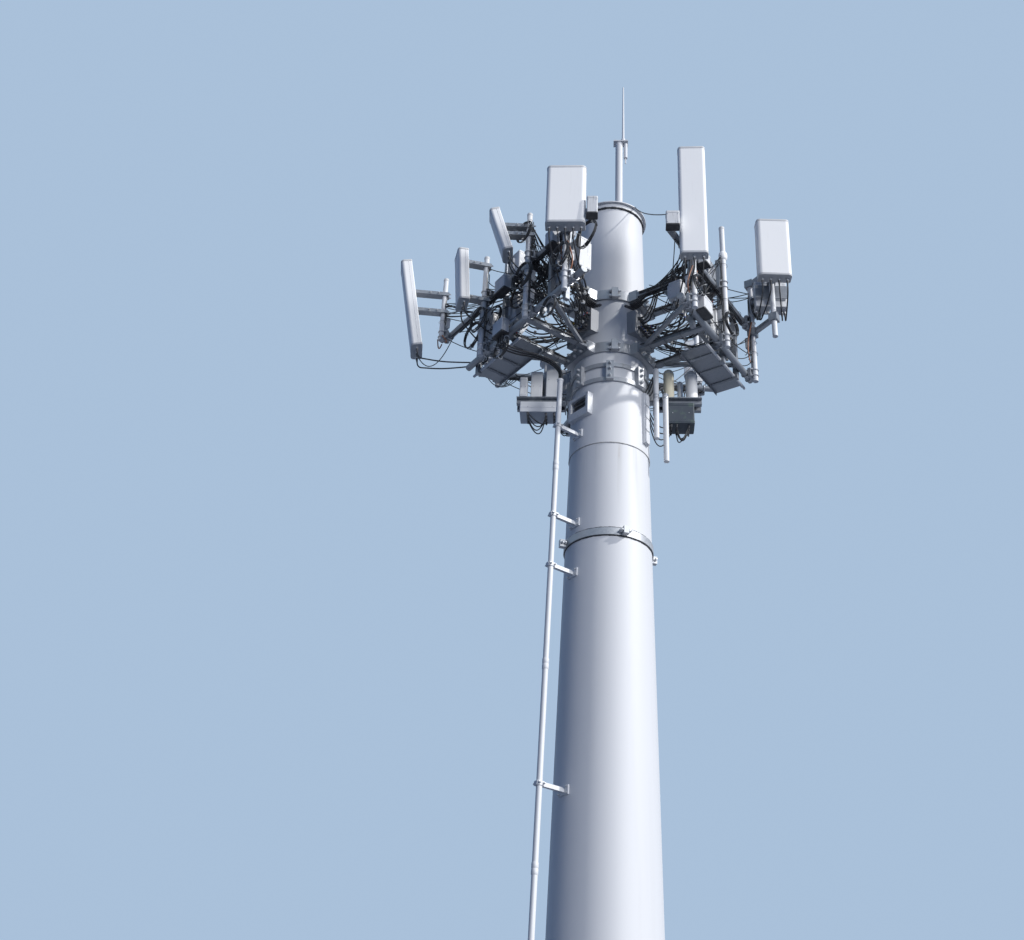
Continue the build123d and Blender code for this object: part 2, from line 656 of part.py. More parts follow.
def trunk_points(name, row, column, radio_index, port, sag):
    """Route from a gland to a radio's port, as along, out and height: low ones sag, high ones climb past."""
    x0, out, high = gland(row, column)
    x, foot, width, _ = RADIOS[name][radio_index]
    x1 = x + PORT_SHARES[port] * width
    run = x1 - x0
    port_out = rail_out() - RAIL_SIZE / 2 - SEAT_GAP - RADIO_GAP - RADIO_DEEP / 2
    port_low = LOWER_COLLAR + foot - CONNECTOR_LONG - SEAT_GAP
    span = port_out - out
    if row == "low":
        below = port_low - TRUNK_DROP
        middle = [(x0 + 0.30 * run, out + 0.33 * span, high - 0.75 * sag),
                  (x0 + 0.66 * run, out + 0.58 * span, high - sag),
                  (x0 + 0.92 * run, out + 0.80 * span, below - 12)]
    else:
        below = port_low - 0.9 * TRUNK_DROP
        middle = [(x0 + 0.62 * run, out + 0.36 * span, high - sag),
                  (x1, out + 0.64 * span, high - 0.7 * sag + 25),
                  (x1, port_out - 146, high + 120),
                  (x1, port_out - 136, below - 60)]
    return [(x0, out, high), (x0, out + 85, high)] + middle + [(x1, port_out, below), (x1, port_out, port_low)]


def arm_cable_points(column):
    """Route from a high gland up beside the near arm, over it and to the back of the middle amplifier."""
    x0, out, high = gland("high", column)
    _, place, _, _, width, _ = AMPLIFIERS["right"][0]
    x1 = place + width / 2 - 1 - TRUNK / 2 + (column + 1) * (TRUNK + 2)
    back = FRAME_RADIUS + FACE_PIPE / 2
    over = UPPER_COLLAR + FACE_PIPE / 2 + TRUNK
    inside = (column + 2) * 30 - ARM_SPREAD / 2 + ARM_SIZE + 28
    across = inside - 85
    return [(x0, out, high), (x0, out + 80, high), (0.5 * (x0 + inside), out + 150, high + 140),
            (inside, out + 210, over + 16), (across, out + 345, over + 40),
            (0.5 * (across + x1), out + 530, over + 34), (x1, back - 140, over), (x1, back, over)]


def conduit_cable_points(offset):
    """Route from the conduit's top under the left deck to the foot of the lower amplifier."""
    top = conduit_point(CONDUIT_TOP)
    spot = (turned(-SECTOR_AZIMUTH["left"]) * Pos(top.X, top.Y, 0)).position
    _, place, _, foot, _, _ = AMPLIFIERS["left"][-1]
    x0, out, low = spot.X + offset, -spot.Y, CONDUIT_TOP + SEAT_GAP
    x1, far = place + 2.2 * offset, FRAME_RADIUS + FACE_PIPE / 2 + AMPLIFIER_DEEP / 2
    end = LOWER_COLLAR + foot - SEAT_GAP
    return [(x0, out, low), (x0, out, low + 110), (x0 + 0.25 * (x1 - x0), out + 70, low + 225),
            (x0 + 0.55 * (x1 - x0), out + 240, low + 275), (x0 + 0.85 * (x1 - x0), out + 460, low + 262),
            (x1, far, low + 285), (x1, far, end)]


def trunk_cables(name):
    """Cables from a sector's entry to its radios, and the few that go elsewhere."""
    routes = [trunk_points(name, *row) for row in TRUNKS[name]]
    if name == "right":
        routes += [arm_cable_points(column) for column in ARM_CABLES]
    if name == "left":
        routes += [conduit_cable_points(offset) for offset in CONDUIT_CABLES]
    cables = [lead([(x, -out, height) for x, out, height in route], TRUNK) for route in routes]
    return turned(SECTOR_AZIMUTH[name]) * Compound(children=cables)


def mast_base():
    """Height of the top mast's foot, a seat gap above the cap."""
    return POLE_HEIGHT + CAP_THICK + 2 * SEAT_GAP


def top_mast():
    """Tube on the cap with a foot plate and a clamp plate at its top."""
    low = mast_base()
    x, y = MAST_SPOT
    tube = Pos(x, y, low) * Cylinder(TOP_MAST_DIAMETER / 2, TOP_MAST_LENGTH, align=BASE_ALIGN)
    tube += Pos(x, y, low) * Cylinder(TOP_MAST_DIAMETER, MAST_FOOT_PLATE, align=BASE_ALIGN)
    top = low + TOP_MAST_LENGTH
    return tube + block(x - 70, x + 110, y - 55, y + 55, top - CLAMP_PLATE, top)


def lightning_rod():
    """Tapered rod clamped on the top mast."""
    x, y = MAST_SPOT
    place = Pos(x + ROD_OFFSET, y, mast_base() + TOP_MAST_LENGTH + SEAT_GAP)
    return place * (Cone(17, 8, ROD_LENGTH, align=BASE_ALIGN) + Cylinder(26, 60, align=BASE_ALIGN))


def whip_base():
    """Small cylinder hung under the clamp plate, beside the mast."""
    x, y = MAST_SPOT
    high = mast_base() + TOP_MAST_LENGTH - CLAMP_PLATE - SEAT_GAP
    body = Pos(x + WHIP_OFFSET, y, high) * Cylinder(24, WHIP_LENGTH, align=TOP_ALIGN)
    return body + Pos(x + WHIP_OFFSET, y, high - WHIP_LENGTH + 1) * Cylinder(8, 90, align=TOP_ALIGN)


def strap_ring():
    """Bolted ring below the antennas with four pairs of ears."""
    low = STRAP_HEIGHT - STRAP_TALL / 2
    high = low + STRAP_TALL
    body = ring(low, high, STRAP_WALL)
    radius = pole_radius(low)
    for i in range(4):
        body += turned(20 + 90 * i) * block(-26, 26, -radius - 80, -radius - 6, low, high)
    return body - clearance(low - 5, high + 5)


def lower_ring():
    """Ring mount of the small equipment: two bands joined by eight upright seats."""
    low, high = LOWER_RING - 130, LOWER_RING + 110
    body = ring(low, low + 50, 20) + ring(high - 50, high, 20)
    radius = pole_radius(LOWER_RING)
    for i in range(8):
        body += turned(45 * i) * block(-40, 40, -radius - RING_SEAT, -radius + 20, low, high)
    return body - clearance(low - 10, high + 10)


def shelf_inner():
    """How far out a shelf starts, a seat gap from the ring's seat."""
    return pole_radius(LOWER_RING) + RING_SEAT + SEAT_GAP


def shelf(side):
    """Outrigger shelf of the lower ring: a foot plate, two bars and a plate on them."""
    inner = shelf_inner()
    outer = inner + SHELF_LENGTH[side]
    under = SHELF_HEIGHT - SHELF_PLATE
    half = SHELF_BAR / 2
    pieces = [block(-SHELF_WIDTH / 2, SHELF_WIDTH / 2, -outer, -inner - 10, under, SHELF_HEIGHT)]
    for x in (-60, 60):
        pieces.append(block(x - half, x + half, -outer, -inner, under - SHELF_BAR, under))
    pieces.append(block(-100, 100, -inner - 12, -inner, SHELF_HEIGHT - 90, SHELF_HEIGHT + 20))
    return turned(SHELF_AZIMUTH[side]) * fused(pieces)


def shelf_pipes():
    """Upright pipes clamped to the front edge of the right shelf."""
    y = SHELF_WIDTH / 2 + MAST_PIPE / 2 + SEAT_GAP
    pipes = []
    for out, foot, length in SHELF_PIPES:
        low = SHELF_HEIGHT - foot
        pipes.append(rod((-y, -shelf_inner() - out, low), (-y, -shelf_inner() - out, low + length), MAST_PIPE))
    return turned(SHELF_AZIMUTH["right"]) * Compound(children=pipes)


def radomes():
    """Small round-topped antennas that stand on the right shelf."""
    bodies = []
    for out, across, radius, tall in RADOMES:
        body = Cylinder(radius, tall, align=BASE_ALIGN) + Pos(0, 0, tall) * Sphere(radius)
        bodies.append(Pos(across, -shelf_inner() - out, SHELF_HEIGHT + SEAT_GAP) * body)
    return turned(SHELF_AZIMUTH["right"]) * Compound(children=bodies)


def shelf_boxes():
    """Housings on and under the left and right shelves."""
    bodies = []
    for side, level, out, across, deep, wide, tall in SHELF_BOXES:
        base = SHELF_HEIGHT + SEAT_GAP
        if level == "under":
            base = SHELF_HEIGHT - SHELF_PLATE - SHELF_BAR - SEAT_GAP - tall
        far = shelf_inner() + out + deep / 2
        body = block(across - wide / 2, across + wide / 2, -far, -far + deep, base, base + tall)
        bodies.append(turned(SHELF_AZIMUTH[side]) * fillet(body.edges().filter_by(Axis.Z), 12))
    return Compound(children=bodies)


def shelf_dome():
    """Small dome on a post that stands on the left shelf."""
    out, across = DOME_PLACE
    body = Cylinder(20, DOME_POST, align=BASE_ALIGN)
    body += Pos(0, 0, DOME_POST - 20) * Cylinder(DOME_RADIUS, 40, align=BASE_ALIGN)
    body += Pos(0, 0, DOME_POST + 20) * scale(Sphere(DOME_RADIUS), by=(1, 1, 0.5))
    return turned(SHELF_AZIMUTH["left"]) * Pos(across, -shelf_inner() - out, SHELF_HEIGHT + SEAT_GAP) * body


def conduit_point(height, offset=0):
    """Point on the conduit's axis at a height."""
    return face_place(CONDUIT_AZIMUTH, 0, taper_radius(height) + CONDUIT_OFF + offset, height)


def conduit():
    """Stand-off cable conduit that follows the pole's taper from its foot to the antennas."""
    return rod(conduit_point(CONDUIT_FOOT), conduit_point(CONDUIT_TOP), CONDUIT)


def conduit_brackets():
    """Arms that hold the conduit off the pole, each with a clip round it."""
    arms = []
    for height in CONDUIT_BRACKETS:
        radius = pole_radius(height - 30)
        out = taper_radius(height) + CONDUIT_OFF
        arm = block(-18, 18, -out - CONDUIT / 2 - 12, -radius + 20, height - 20, height + 20)
        arm += block(-34, 34, -out - 34, -out + 34, height - 20, height + 20)
        arm += block(-70, 70, -radius - 12, -radius + 30, height - 45, height + 45)
        arm = turned(CONDUIT_AZIMUTH) * arm - clearance(height - 60, height + 60)
        arm -= rod(conduit_point(height - 100), conduit_point(height + 100), CONDUIT + 2 * SEAT_GAP)
        arms.append(arm)
    return Compound(children=[s for a in arms for s in a.solids()])


def cable_port():
    """Rimmed entry on the pole's front left, under the lower ring."""
    radius = pole_radius(PORT_HEIGHT)
    half, rise = PORT_WIDTH / 2, PORT_TALL / 2
    body = block(-half, half, -radius - 45, -radius + 60, PORT_HEIGHT - rise, PORT_HEIGHT + rise)
    body -= block(-half + PORT_RIM, half - PORT_RIM, -radius - 50, -radius + 70,
                  PORT_HEIGHT - rise + PORT_SILL, PORT_HEIGHT + rise - PORT_RIM)
    return turned(PORT_AZIMUTH) * body - clearance(PORT_HEIGHT - 2 * rise, PORT_HEIGHT + 2 * rise)


def port_strip():
    """Upright strip of cover plates on the pole's right side."""
    radius = pole_radius(STRIP_HEIGHT)
    low = STRIP_HEIGHT - STRIP_LENGTH / 2
    body = block(-45, 45, -radius - 30, -radius + 40, low, low + STRIP_LENGTH)
    step = STRIP_LENGTH / STRIP_PLATES
    for i in range(STRIP_PLATES):
        body += block(-38, 38, -radius - 46, -radius, low + i * step + 8, low + (i + 1) * step - 8)
    return turned(STRIP_AZIMUTH) * body - clearance(low - 20, low + STRIP_LENGTH + 20)


def save(name, shape):
    """Write one node."""
    shape.label = name
    export_step(shape, f"parts/{name}.step")


def main():
    os.makedirs("parts", exist_ok=True)
    save("base_flange", base_flange())
    save("pole_lower", pole_lower())
    save("pole_upper", pole_upper())
    save("top_cap", top_cap())
    save("upper_collar", collar(UPPER_COLLAR))
    save("lower_collar", collar(LOWER_COLLAR))
    save("top_mast", top_mast())
    save("lightning_rod", lightning_rod())
    save("whip_base", whip_base())
    save("strap_ring", strap_ring())
    save("lower_ring", lower_ring())
    save("shelf_pipes", shelf_pipes())
    save("shelf_radomes", radomes())
    save("shelf_boxes", shelf_boxes())
    save("shelf_dome", shelf_dome())
    save("cable_conduit", conduit())
    save("conduit_brackets", conduit_brackets())
    save("cable_port", cable_port())
    save("port_strip", port_strip())
    save("cable_entries", cable_entries())
    save("right_outrigger", outrigger())
    for side in SHELF_AZIMUTH:
        save(f"{side}_shelf", shelf(side))
    for name in SECTOR_AZIMUTH:
        save(f"{name}_frame", sector_frame(name))
        save(f"{name}_mast_pipes", mast_pipes(name))
        save(f"{name}_clamps", Compound(children=mast_clamps(name) + panel_brackets(name)))
        save(f"{name}_radio_rails", radio_rails(name))
        save(f"{name}_radios", radios(name))
        save(f"{name}_jumpers", jumpers(name))
        save(f"{name}_trunk_cables", trunk_cables(name))
        for index in range(len(PANELS[name])):
            save(f"{name}_panel_{index + 1}", panel(name, index))
    for name in AMPLIFIERS:
        save(f"{name}_amplifiers", amplifiers(name))
        save(f"{name}_deck", deck(name))


main()
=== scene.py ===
# %% [markdown]
# # A white monopole with three antenna sectors
# The tower in the photo is a tapered steel pole, painted white, seen from low down with the sun on its right.
# The CAD model already holds every load-bearing piece at its true place, and this notebook never moves one.
# It adds the finishes and the small things that make the real one believable: bolts, U-bolts, nuts, weld beads,
# housings' trim, connector boots, thin leads and grime. Everything is in metres, with +Z up and the front at -Y.

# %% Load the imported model
import bpy
import json
import numpy as np
from collections import namedtuple
from mathutils import Matrix


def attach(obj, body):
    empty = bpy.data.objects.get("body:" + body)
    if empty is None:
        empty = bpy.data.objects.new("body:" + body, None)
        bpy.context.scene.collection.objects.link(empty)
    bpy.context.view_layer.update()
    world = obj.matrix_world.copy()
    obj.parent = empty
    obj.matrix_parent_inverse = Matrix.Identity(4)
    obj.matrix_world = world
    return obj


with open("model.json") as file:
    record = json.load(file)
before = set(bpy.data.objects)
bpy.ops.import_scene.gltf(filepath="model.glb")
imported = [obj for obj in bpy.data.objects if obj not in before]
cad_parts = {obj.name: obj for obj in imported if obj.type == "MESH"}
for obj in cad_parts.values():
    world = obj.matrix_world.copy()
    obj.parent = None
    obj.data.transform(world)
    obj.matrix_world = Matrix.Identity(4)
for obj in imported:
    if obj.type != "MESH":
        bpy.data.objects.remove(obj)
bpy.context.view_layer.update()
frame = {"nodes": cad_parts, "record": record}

# %% [markdown]
# ## The camera
# The view is taken 12 m in front of the pole's axis and 4 m up, and looks up at the head. The pitch was found from
# the way the pole's edges close towards the top, and the slight roll from its lean in the picture.
# A turn about Z, a pitch and a roll give the three axes of the camera, so no shift is needed.

# %% Camera at the photo's viewing angle
IMAGE_WIDTH = 1024
FOCAL_PIXELS = 1300
SENSOR = 36
CAMERA_SPOT = (0, -11.73, 4.02)
YAW, PITCH, ROLL = np.radians([-5.029, 31.838, 3.156])

ahead = np.array([np.sin(YAW) * np.cos(PITCH), np.cos(YAW) * np.cos(PITCH), np.sin(PITCH)])
level = np.array([np.cos(YAW), -np.sin(YAW), 0])
upward = np.cross(level, ahead)
right = np.cos(ROLL) * level + np.sin(ROLL) * upward
top = -np.sin(ROLL) * level + np.cos(ROLL) * upward

camera_data = bpy.data.cameras.new("camera")
camera_data.sensor_width = SENSOR
camera_data.lens = FOCAL_PIXELS * SENSOR / IMAGE_WIDTH
camera_data.clip_end = 400
camera = bpy.data.objects.new("camera", camera_data)
bpy.context.collection.objects.link(camera)
turn_matrix = Matrix(np.stack([right, top, -ahead], 1).tolist())
camera.matrix_world = Matrix.Translation(CAMERA_SPOT) @ turn_matrix.to_4x4()
bpy.context.scene.camera = camera
print("lens", round(camera_data.lens, 2), "mm")

# %% [markdown]
# ## Shader maths as Python
# A finish is easier to read as an expression than as a web of nodes. `Value` wraps one socket, and its operators
# add the Math node that the sign asks for, the reflected ones too. `Nodes` owns a tree, and its one method `add`
# makes any other node from its type, its settings and its inputs. `Finish` is the tree of one material.

# %% The socket class and the classes of the trees
class Value:
    """A number or colour on its way through a tree, as one output socket."""

    def __init__(self, nodes, socket):
        self.nodes, self.socket = nodes, socket

    def math(self, operation, first, second):
        return self.nodes.add("ShaderNodeMath", {"operation": operation}, {0: first, 1: second})

    def __add__(self, other):
        return self.math("ADD", self, other)

    def __sub__(self, other):
        return self.math("SUBTRACT", self, other)

    def __rsub__(self, other):
        return self.math("SUBTRACT", other, self)

    def __mul__(self, other):
        return self.math("MULTIPLY", self, other)

    __radd__ = __add__
    __rmul__ = __mul__


class Nodes:
    """A node tree, emptied, and the one method that adds nodes to it."""

    def __init__(self, tree):
        self.tree = tree
        tree.nodes.clear()

    def add(self, kind, settings, values, output=0):
        """Adds a node: settings first, then each input's value or link. Gives one output, or the node itself."""
        node = self.tree.nodes.new(kind)
        for key, setting in settings.items():
            setattr(node, key, setting)
        for key, value in values.items():
            if isinstance(value, Value):
                self.tree.links.new(value.socket, node.inputs[key])
            else:
                node.inputs[key].default_value = value
        return node if output is None else Value(self, node.outputs[output])


class Finish(Nodes):
    """One material, with short names for the nodes that every finish here needs."""

    def __init__(self, name, **constants):
        self.material = bpy.data.materials.new(name)
        self.material.use_nodes = True
        super().__init__(self.material.node_tree)
        constants = {socket.replace("_", " "): constant for socket, constant in constants.items()}
        self.surface = self.add("ShaderNodeBsdfPrincipled", {}, constants, None)
        self.add("ShaderNodeOutputMaterial", {}, {0: Value(self, self.surface.outputs[0])}, None)
        self.point = self.add("ShaderNodeTexCoord", {}, {}, "Object")
        axes = self.add("ShaderNodeSeparateXYZ", {}, {0: self.point}, None)
        self.x, self.z = Value(self, axes.outputs[0]), Value(self, axes.outputs[2])

    def noise(self, scale, detail, stretch=(1, 1, 1)):
        """Mottled noise of 0 to 1; a small number in stretch draws it out along that axis."""
        place = self.add("ShaderNodeMapping", {}, {"Vector": self.point, "Scale": stretch})
        return self.add("ShaderNodeTexNoise", {}, {"Vector": place, "Scale": scale, "Detail": detail})

    def ramp(self, value, low, high):
        """Smooth step: 0 below low, 1 above high."""
        settings = {"interpolation_type": "SMOOTHSTEP"}
        return self.add("ShaderNodeMapRange", settings, {"Value": value, "From Min": low, "From Max": high})

    def mix(self, factor, first, second):
        """Colour between two colours by a factor of 0 to 1."""
        colour = [c if isinstance(c, Value) else (*c, 1) for c in (first, second)]
        values = {0: factor, 6: colour[0], 7: colour[1]}
        return self.add("ShaderNodeMix", {"data_type": "RGBA"}, values, 2)

    def wear(self, colour, roughness, height, distance, strength):
        """Links the colour, the roughness and a bump of this height to the surface."""
        bump = self.add("ShaderNodeBump", {}, {"Height": height, "Distance": distance, "Strength": strength})
        for value, socket in ((colour, "Base Color"), (roughness, "Roughness"), (bump, "Normal")):
            self.tree.links.new(value.socket, self.surface.inputs[socket])
        return self.material


# %% [markdown]
# ## Paint on the pole
# The pole is painted white over zinc. Rain draws faint grey streaks down it, dirt gathers under the joint and the
# collars, and splashed soil tints the foot. Streaks are noise squeezed in height, and each dirty band is a smooth
# step on the height, broken up by that same noise. A long-wave bump keeps the rolled plate from looking machined.

# %% Pole paint
JOINT_HEIGHT, COLLAR_FOOT = 11.42, 12.60
WHITE, CHALK = (0.655, 0.665, 0.685), (0.58, 0.60, 0.63)
STREAK_GREY, SOIL, RUST = (0.52, 0.53, 0.53), (0.33, 0.28, 0.22), (0.30, 0.13, 0.05)


def pole_paint():
    paint = Finish("pole_paint", Coat_Weight=0.04, Coat_Roughness=0.4)

    def dirt_under(top, deep, fade):
        return paint.ramp(paint.z, top - deep, top) * (1 - paint.ramp(paint.z, top, top + fade))

    mottle, streaks = paint.noise(1.3, 4), paint.noise(9.0, 5, (1, 1, 0.045))
    fine, peel = paint.noise(55, 3, (1, 1, 0.12)), paint.noise(420, 2)
    below_joint, below_collar = dirt_under(JOINT_HEIGHT, 1.02, 0.01), dirt_under(COLLAR_FOOT, 0.6, 0.02)
    foot = 1 - paint.ramp(paint.z, 0.2, 1.6)
    grime = paint.ramp(streaks, 0.52, 0.72) * (0.10 + 0.45 * below_joint + 0.35 * below_collar)
    soil = paint.ramp(mottle * 0.5 + fine * 0.5 + foot * 0.45, 0.62, 0.95) * foot
    rust = paint.ramp(streaks * fine, 0.40, 0.48) * (0.25 * below_joint + 0.15 * foot)
    colour = paint.mix(mottle * 0.14, WHITE, CHALK)
    colour = paint.mix(grime, colour, STREAK_GREY)
    colour = paint.mix(soil * 0.8, colour, SOIL)
    colour = paint.mix(rust, colour, RUST)
    height = paint.noise(2.2, 2) * 0.9 + peel * 0.06
    return paint.wear(colour, 0.50 + grime * 0.25 + soil * 0.3 + fine * 0.08, height, 0.004, 0.22)


# %% [markdown]
# ## Galvanised steel
# The frames, collars and clamps are hot-dip galvanised. Fresh zinc shows a spangle of crystals, old zinc turns matt
# and patchy, with pale white rust in the wet corners. Voronoi cells give each crystal its own grey, and two noises
# lay the weathering over them.

# %% Galvanised finish
SPANGLE = 62
WHITE_RUST, ZINC_STAIN = (0.62, 0.63, 0.63), (0.13, 0.11, 0.09)


def galvanised(name, bright, dark, shine):
    zinc = Finish(name, Metallic=0.55)
    crystal = zinc.add("ShaderNodeTexVoronoi", {}, {"Vector": zinc.point, "Scale": SPANGLE}, "Color")
    grey = zinc.add("ShaderNodeRGBToBW", {}, {0: crystal})
    patches, drips = zinc.noise(4.5, 5), zinc.noise(26, 4, (1, 1, 0.12))
    fine = zinc.noise(240, 2)
    white_rust = zinc.ramp(patches, 0.56, 0.70) * zinc.ramp(drips, 0.42, 0.66)
    colour = zinc.mix(grey * 0.32 + patches * 0.55, dark, bright)
    colour = zinc.mix(white_rust * 0.45, colour, WHITE_RUST)
    colour = zinc.mix(zinc.ramp(drips, 0.60, 0.80) * 0.35, colour, ZINC_STAIN)
    return zinc.wear(colour, shine + grey * 0.12 + white_rust * 0.25, fine * 0.6 + drips * 0.4, 0.0008, 0.25)


# %% [markdown]
# ## Painted pipes and the conduit
# The mast pipes and the conduit are painted white too, thinner and chalkier than the pole. Around the clamps the
# paint is rubbed and a little zinc shows through, which a sparse, sharp noise can stand for anywhere along a pipe.

# %% Pipe and conduit paint
def pipe_paint(name, tone, chips):
    paint = Finish(name)
    mottle, streaks = paint.noise(6, 4), paint.noise(34, 4, (1, 1, 0.06))
    specks = paint.noise(130, 3)
    chipped = paint.ramp(specks, 0.68 - chips, 0.71 - chips) * paint.ramp(mottle, 0.5, 0.6)
    colour = paint.mix(mottle * 0.25, tone, tuple(0.84 * c for c in tone))
    colour = paint.mix(paint.ramp(streaks, 0.55, 0.75) * 0.4, colour, STREAK_GREY)
    colour = paint.mix(chipped * 0.8, colour, (0.36, 0.37, 0.38))
    return paint.wear(colour, 0.42 + mottle * 0.15 + chipped * 0.2, specks * 0.5 - chipped, 0.0006, 0.25)


# %% [markdown]
# ## Shells and housings
# A panel's shell is moulded fibreglass in a matt white that hardly reflects. Dust settles in soft patches, and rain
# leaves thin runs on its upright faces. Radio housings have a textured powder coat, which is a fine bump and a
# slightly uneven grey, with dark runs down it. The shelves carry both kinds, each in more than one colour.

# %% Shell and housing finishes
SHELL_IOR = 1.42


def shell_white():
    shell = Finish("shell_white", IOR=SHELL_IOR)
    mottle, runs = shell.noise(2.6, 4), shell.noise(44, 4, (1, 1, 0.05))
    weave = shell.noise(650, 1)
    colour = shell.mix(mottle * 0.5, (0.94, 0.94, 0.93), (0.89, 0.895, 0.89))
    colour = shell.mix(shell.ramp(runs, 0.58, 0.80) * 0.10, colour, (0.55, 0.54, 0.51))
    return shell.wear(colour, 0.50 + mottle * 0.12, weave * 0.5 + mottle * 0.5, 0.0004, 0.2)


def powder_coat(name, light, dark):
    coat = Finish(name)
    mottle, grain = coat.noise(7, 4), coat.noise(520, 1)
    runs = coat.noise(60, 3, (1, 1, 0.08))
    colour = coat.mix(mottle * 0.6, light, dark)
    colour = coat.mix(coat.ramp(runs, 0.55, 0.75) * 0.35, colour, (0.20, 0.20, 0.20))
    return coat.wear(colour, 0.52 + grain * 0.15, grain, 0.0008, 0.35)


def shelf_box_coat():
    """Grey housings on the left shelf, a dark one with a green film under the right shelf: x tells them apart."""
    coat = Finish("shelf_boxes")
    mottle, film, grain = coat.noise(7, 4), coat.noise(15, 5), coat.noise(520, 1)
    pale = coat.mix(mottle * 0.6, (0.80, 0.81, 0.82), (0.64, 0.65, 0.67))
    dark = coat.mix(mottle * 0.6, (0.055, 0.070, 0.090), (0.030, 0.036, 0.050))
    dark = coat.mix(coat.ramp(film, 0.52, 0.70) * 0.5, dark, (0.09, 0.14, 0.11))
    colour = coat.mix(coat.ramp(coat.x, -0.01, 0.01), pale, dark)
    return coat.wear(colour, 0.52 + grain * 0.15, grain, 0.0008, 0.35)


def shelf_radome_coat():
    """White shells; the one nearest the pole, at x below 0.71, has yellowed with age."""
    shell = Finish("shelf_radomes", IOR=SHELL_IOR)
    mottle, runs = shell.noise(9, 4), shell.noise(60, 4, (1, 1, 0.06))
    near = (1 - shell.ramp(shell.x, 0.70, 0.72)) * (0.85 + mottle * 0.15)
    colour = shell.mix(near, (0.90, 0.90, 0.89), (0.80, 0.73, 0.54))
    colour = shell.mix(shell.ramp(runs, 0.55, 0.80) * 0.2, colour, (0.50, 0.48, 0.43))
    return shell.wear(colour, 0.48 + mottle * 0.15, mottle, 0.0006, 0.2)


# %% [markdown]
# ## Rubber, bolts and sealant
# Leads have a black jacket that dust turns grey on top. Bolts are brighter zinc than the frames. Sealant is a dull
# off-white bead. Each still gets its own noise, because even a dark jacket is never one flat colour.

# %% Small finishes, and every finish by name
def jacket(name, tone):
    rubber = Finish(name)
    dust, scuffs = rubber.noise(18, 4), rubber.noise(260, 2)
    colour = rubber.mix(rubber.ramp(dust, 0.42, 0.75) * 0.5, tone, tuple(c + 0.07 for c in tone))
    return rubber.wear(colour, 0.45 + dust * 0.25, scuffs, 0.0004, 0.3)


def sealant():
    bead = Finish("sealant")
    dirt = bead.noise(30, 4)
    colour = bead.mix(dirt, (0.62, 0.62, 0.60), (0.36, 0.35, 0.33))
    return bead.wear(colour, 0.6 + dirt * 0.2, dirt, 0.001, 0.4)


JACKETS = {
    "copper_braid": (0.36, 0.15, 0.08), "cable_black": (0.022, 0.022, 0.025), "boot_grey": (0.07, 0.07, 0.075),
    "boot_pale": (0.68, 0.68, 0.66), "cap_grey": (0.60, 0.605, 0.61), "tape_red": (0.45, 0.03, 0.025),
    "tape_blue": (0.03, 0.09, 0.40), "tape_white": (0.74, 0.74, 0.72), "tape_yellow": (0.60, 0.42, 0.03),
}
FINISHES = {
    "pole_paint": pole_paint(),
    "pipe_white": pipe_paint("pipe_white", (0.72, 0.73, 0.745), 0.0),
    "conduit_white": pipe_paint("conduit_white", (0.73, 0.74, 0.755), -0.02),
    "galvanised": galvanised("galvanised", (0.33, 0.345, 0.37), (0.18, 0.195, 0.22), 0.46),
    "band_zinc": galvanised("band_zinc", (0.50, 0.51, 0.53), (0.33, 0.34, 0.36), 0.42),
    "bolt_zinc": galvanised("bolt_zinc", (0.62, 0.63, 0.65), (0.40, 0.41, 0.43), 0.32),
    "radome_white": shell_white(),
    "shelf_radomes": shelf_radome_coat(),
    "radio_housing": powder_coat("radio_housing", (0.70, 0.71, 0.72), (0.56, 0.57, 0.59)),
    "entry_grey": powder_coat("entry_grey", (0.36, 0.37, 0.39), (0.25, 0.26, 0.28)),
    "shelf_boxes": shelf_box_coat(),
    "sealant": sealant(),
    **{name: jacket(name, tone) for name, tone in JACKETS.items()},
}
print(len(FINISHES), "finishes")

# %% Finishes onto the CAD nodes
slot_of = {part["node"]: part["material_slot"] for part in frame["record"]["subparts"]}
OWN_FINISH = {"shelf_boxes": "shelf_boxes", "shelf_radomes": "shelf_radomes", "lightning_rod": "pipe_white",
              "cable_entries": "entry_grey", "upper_collar": "band_zinc", "lower_collar": "band_zinc",
              "lower_ring": "band_zinc", "strap_ring": "band_zinc"}
for node_name, node in frame["nodes"].items():
    if not node.material_slots:
        node.data.materials.append(None)
    for material_slot in node.material_slots:
        material_slot.material = FINISHES[OWN_FINISH.get(node_name, slot_of[node_name])]
print("dressed", len(slot_of), "nodes")

# %% [markdown]
# ## Surfaces from numpy
# New pieces are grids of points. `wrapped` joins a grid's neighbours into quads, `weld` merges points that coincide,
# so that seams and poles close, and `copies` repeats a small shape at many places with one array product.
# No loop runs over vertices.

# %% Grid, weld and copy helpers
def wrapped(points):
    """Faces of a grid that closes around v: point (u, v) with (u, v+1), (u+1, v+1) and (u+1, v)."""
    rows, columns = points.shape[:2]
    u, v = np.meshgrid(np.arange(rows - 1), np.arange(columns), indexing="ij")
    after = (v + 1) % columns
    quads = np.stack([u * columns + v, u * columns + after, (u + 1) * columns + after, (u + 1) * columns + v], -1)
    return weld(points.reshape(-1, 3), quads.reshape(-1, 4))


def weld(points, quads):
    """Merges points closer than a micrometre; a quad that loses a corner is kept as a triangle."""
    _, first, inverse = np.unique(np.round(points, 6), axis=0, return_index=True, return_inverse=True)
    quads = inverse.reshape(-1)[quads]
    repeated = quads == np.roll(quads, -1, axis=1)
    full = quads[repeated.sum(1) == 0]
    corner = quads[repeated.sum(1) == 1]
    keep = ~repeated[repeated.sum(1) == 1]
    return points[first], full, corner[keep].reshape(-1, 3)


